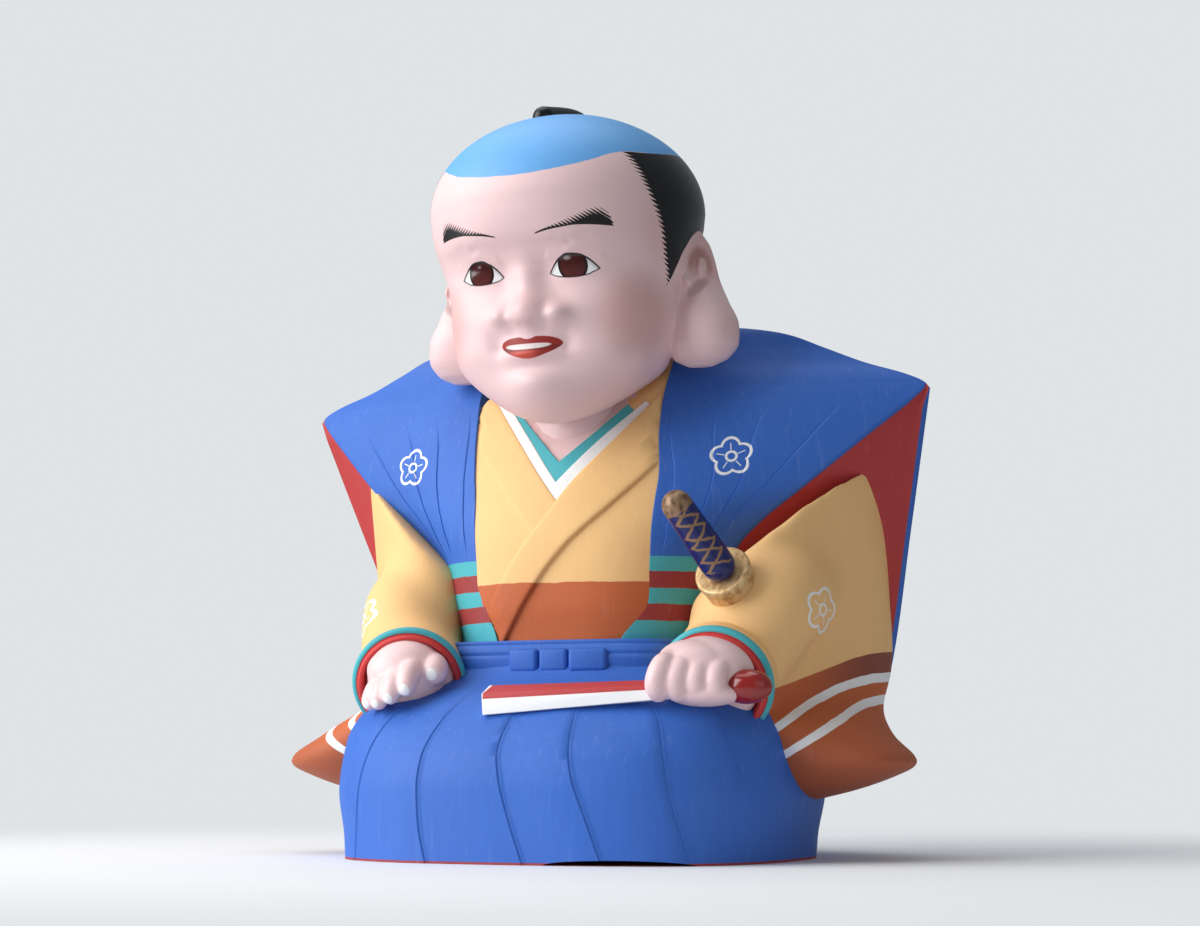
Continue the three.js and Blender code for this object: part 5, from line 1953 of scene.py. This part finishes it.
    def eyes(self, sheet: Sheet, x: Term, y: Term, z: Term, skin: Term) -> tuple[Term, Term]:
        """Almond eyes with thin dark lines, a painted highlight on each iris and painted shade under the
        upper lids.

        Returns:
            The colour with the eyes on it, and the mask of the wet shine.
        """
        across = abs(x)
        upper = sheet.curve(across, self.upper_lid)
        lower = sheet.curve(across, self.lower_lid)
        front = sheet.over(FACE_END_Y - y)
        span = sheet.both(sheet.over(across, 9.7, 0.2), sheet.over(29.0 - across, 0.0, 0.2), front)
        opening = sheet.both(sheet.over(upper - z), sheet.over(z - lower), span)
        distance = sheet.reach(across - 19.3, z - 220.6)
        iris = 1 - sheet.rise(distance, 5.6, 5.85)
        ring = sheet.rise(distance, 4.2, 5.6)
        depth = sheet.rise(z, 217.5, 223.0)
        iris_colour = sheet.mix(depth, self.palette.iris_light, self.palette.iris)
        iris_colour = sheet.mix(ring, iris_colour, self.palette.iris_edge)
        # Painted highlights: a pale soft spot near the top of each iris, fainter on the eye at -X.
        glint, glint_right = (
            sheet.math("SQRT", sheet.square(x - glint_x) * 0.35 + sheet.square(z - glint_z))
            for glint_x, glint_z in ((17.6, 223.4), (-19.6, 223.0))
        )
        shine = sheet.either(1 - sheet.rise(glint, 0.1, 1.3), (1 - sheet.rise(glint_right, 0.1, 0.9)) * 0.5)
        iris_colour = sheet.mix(shine * 0.6, iris_colour, self.palette.glint)
        # Painted shade: the white turns greyer just under the upper lid.
        white = sheet.mix(sheet.rise(upper - z, 0.0, 2.4), self.palette.painted_lid_shade, self.palette.eye_white)
        eye = sheet.mix(iris, white, iris_colour)
        colour = sheet.mix(opening, skin, eye)
        upper_line = sheet.both(1 - sheet.rise(abs(z - upper), 0.3, 0.52), span)
        lower_line = sheet.both(1 - sheet.rise(abs(z - lower), 0.16, 0.34), span)
        colour = sheet.mix(sheet.either(upper_line, lower_line * 0.9), colour, self.palette.lash)
        return colour, opening

    def lips(self, sheet: Sheet, x: Term, y: Term, z: Term, skin: Term) -> Term:
        """Red lips, a little open over a white strip, with a painted highlight on the lower lip."""
        x = x - FACE_SHIFT
        across = abs(x)
        top = sheet.curve(across, self.lip_top)
        foot = sheet.curve(across, self.lip_foot)
        front = sheet.over(FACE_END_Y - y)
        inside = sheet.both(sheet.over(12.8 - across, 0.0, 0.2), front)
        mouth = sheet.both(sheet.over(top - z, 0.0, 0.2), sheet.over(z - foot, 0.0, 0.2), inside)
        # Painted highlight: a lighter patch on the middle of the lower lip, a little towards -X.
        lit = sheet.both(sheet.over(189.6 - z, 0.0, 1.0), 1 - sheet.rise(abs(x + 2.0), 2.0, 8.0))
        red = sheet.mix(lit * 0.8, self.palette.lip, self.palette.lip_painted_highlight)
        dark = sheet.rise(abs(z - 190.4), 1.6, 0.4) * 0.55
        red = sheet.mix(dark, red, self.palette.lip_dark)
        aside = abs(x + 0.8)
        teeth = sheet.both(
            sheet.over(sheet.curve(aside, self.teeth_top) - z, 0.0, 0.16),
            sheet.over(z - sheet.curve(aside, self.teeth_foot), 0.0, 0.16),
            sheet.over(9.7 - aside, 0.0, 0.2),
        )
        red = sheet.mix(teeth, red, self.palette.teeth)
        return sheet.mix(mouth, skin, red)

    def finished(self, sheet: Sheet, colour: Term, hair: Term, wet: Term) -> Material:
        """Satin skin, glossy hair and eyes, and a fine grain."""
        cloud = sheet.noise(0.045, 3, 0.5)
        grain = sheet.noise(0.8, 3, 0.6)
        comb = sheet.noise((0.7, 0.07, 0.07), 3, 0.6)
        toned = sheet.brighten(colour, (cloud - 0.5) * 0.07 + (grain - 0.5) * 0.03 + 1)
        sheet.put(toned, sheet.shader.inputs["Base Color"])
        rough = (grain - 0.5) * 0.08 + 0.5
        hair_rough = (comb - 0.5) * 0.16 + 0.26
        rough = rough + (hair_rough - rough) * hair
        rough = rough + (0.14 - rough) * wet
        sheet.put(rough, sheet.shader.inputs["Roughness"])
        sheet.bump(grain * (1 - hair) + comb * hair * 2.0, 0.04)
        sheet.tune(Specular_IOR_Level=0.45)
        return sheet.material


@dataclass
class Doll:
    """The whole doll: one figure and its short sword."""

    shop: Workshop

    def build(self) -> None:
        """Builds, dresses and places both pieces."""
        hakama = Hakama(self.shop)
        sword = ShortSword(self.shop)
        self.shop.paints.extend(Finishes(self.shop.share).all(sword))
        parts = [
            *hakama.build(),
            *Belt(self.shop).build(),
            *Mantle(self.shop).build(),
            *Chest(self.shop).build(),
            *Sleeves(self.shop).build(),
            *Hands(self.shop).build(),
            *Head(self.shop).build(),
            sword.seat(),
        ]
        figure = self.shop.joined("figure_finish", parts, [hakama.arch(), sword.socket()])
        blade = sword.build()
        for piece, node, slot in ((figure, "figure", "painted_clay"), (blade, "short_sword", "hilt_paint")):
            self.smooth(piece)
            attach(piece, "root")
            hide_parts(node)
            LOG.info("%s: %d triangles", piece.name, triangle_count(piece))

    def smooth(self, piece: Piece) -> None:
        """Smooths a piece's faces, but not over its sharp edges."""
        piece.data.shade_smooth()
        piece.data.set_sharp_from_angle(angle=math.radians(36))


@dataclass
class Studio:
    """A pale floor, a pale surround, soft lights and the camera.

    Attributes:
        azimuth: The camera's turn from the front, in degrees, towards +X.
        pitch: How far it looks up, in degrees.
        distance: Its level distance from the doll's middle, in metres.
        height: Its height, in metres.
        focal: Its focal length in pixels of a picture 1200 wide.
    """

    azimuth: float = 22.5
    pitch: float = 7.0
    distance: float = 0.944
    height: float = 0.0382
    focal: float = 2394.0
    picture_width: float = 1200.0
    sensor: float = 36.0

    def camera(self) -> None:
        """The camera at the photograph's angle."""
        data = bpy.data.cameras.new("camera")
        data.sensor_width = self.sensor
        data.lens = self.focal * self.sensor / self.picture_width
        data.shift_x = 6 / self.picture_width
        data.clip_start = 0.01
        camera = bpy.data.objects.new("camera", data)
        azimuth = math.radians(self.azimuth)
        aside, ahead = self.distance * math.sin(azimuth), self.distance * math.cos(azimuth)
        camera.location = (aside, -ahead, self.height)
        camera.rotation_euler = (math.radians(90 + self.pitch), 0, azimuth)
        bpy.context.scene.collection.objects.link(camera)
        bpy.context.scene.camera = camera

    def light(
        self, name: str, place: Sequence[float], target: Sequence[float], size: float, power: float
    ) -> None:
        """A square soft light at place that faces target."""
        data = bpy.data.lights.new(name, "AREA")
        data.shape = "SQUARE"
        data.size = size
        data.energy = power
        lamp = bpy.data.objects.new(name, data)
        lamp.location = place
        way = Vector(target) - Vector(place)
        lamp.rotation_euler = way.to_track_quat("-Z", "Y").to_euler()
        bpy.context.scene.collection.objects.link(lamp)

    def floor(self) -> None:
        """A round pale floor that fades out far from the doll."""
        bm = bmesh.new()
        bmesh.ops.create_circle(bm, cap_ends=True, segments=96, radius=1.2)
        mesh = bpy.data.meshes.new("floor")
        bm.to_mesh(mesh)
        bm.free()
        floor = bpy.data.objects.new("floor", mesh)
        bpy.context.scene.collection.objects.link(floor)
        sheet = Sheet("floor_paint", 1.0)
        x, y, _ = sheet.place()
        distance = sheet.math("SQRT", x * x + y * y)
        sheet.put(linear((236, 238, 240)), sheet.shader.inputs["Base Color"])
        sheet.tune(Roughness=0.7)
        sheet.put(1 - sheet.rise(distance, 0.2, 0.5), sheet.shader.inputs["Alpha"])
        mesh.materials.append(sheet.material)
        floor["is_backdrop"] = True

    def surround(self) -> None:
        """A pale grey surround that the camera sees brighter than it lights."""
        world = bpy.data.worlds.new("surround")
        bpy.context.scene.world = world
        world.use_nodes = True
        tree = world.node_tree
        shown = tree.nodes["Background"]
        shown.inputs["Color"].default_value = (0.74, 0.77, 0.79, 1)
        shown.inputs["Strength"].default_value = 1.0
        lighting = tree.nodes.new("ShaderNodeBackground")
        lighting.inputs["Color"].default_value = (0.9, 0.95, 1.0, 1)
        lighting.inputs["Strength"].default_value = 0.27
        path = tree.nodes.new("ShaderNodeLightPath")
        mix = tree.nodes.new("ShaderNodeMixShader")
        tree.links.new(path.outputs["Is Camera Ray"], mix.inputs[0])
        tree.links.new(lighting.outputs[0], mix.inputs[1])
        tree.links.new(shown.outputs[0], mix.inputs[2])
        tree.links.new(mix.outputs[0], tree.nodes["World Output"].inputs["Surface"])

    def build(self) -> None:
        """Sets the whole studio."""
        self.camera()
        self.floor()
        self.surround()
        middle = (0, 0, 0.16)
        self.light("key", (-1.15, -0.9, 0.72), middle, 1.4, 34)
        self.light("top", (-0.4, 0.1, 1.6), middle, 1.4, 11)
        self.light("fill", (1.3, -0.9, 0.5), middle, 1.2, 2)
        bpy.context.scene.view_settings.view_transform = "Standard"
        LOG.info("studio")


def main() -> None:
    """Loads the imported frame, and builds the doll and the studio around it."""
    logging.basicConfig(level=logging.INFO, format="%(name)s: %(message)s")
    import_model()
    low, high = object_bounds()
    share = (high[2] - low[2]) / SHARES_TALL
    Studio().build()
    Doll(Workshop(share)).build()
    bpy.context.view_layer.update()


if __name__ == "__main__":
    main()
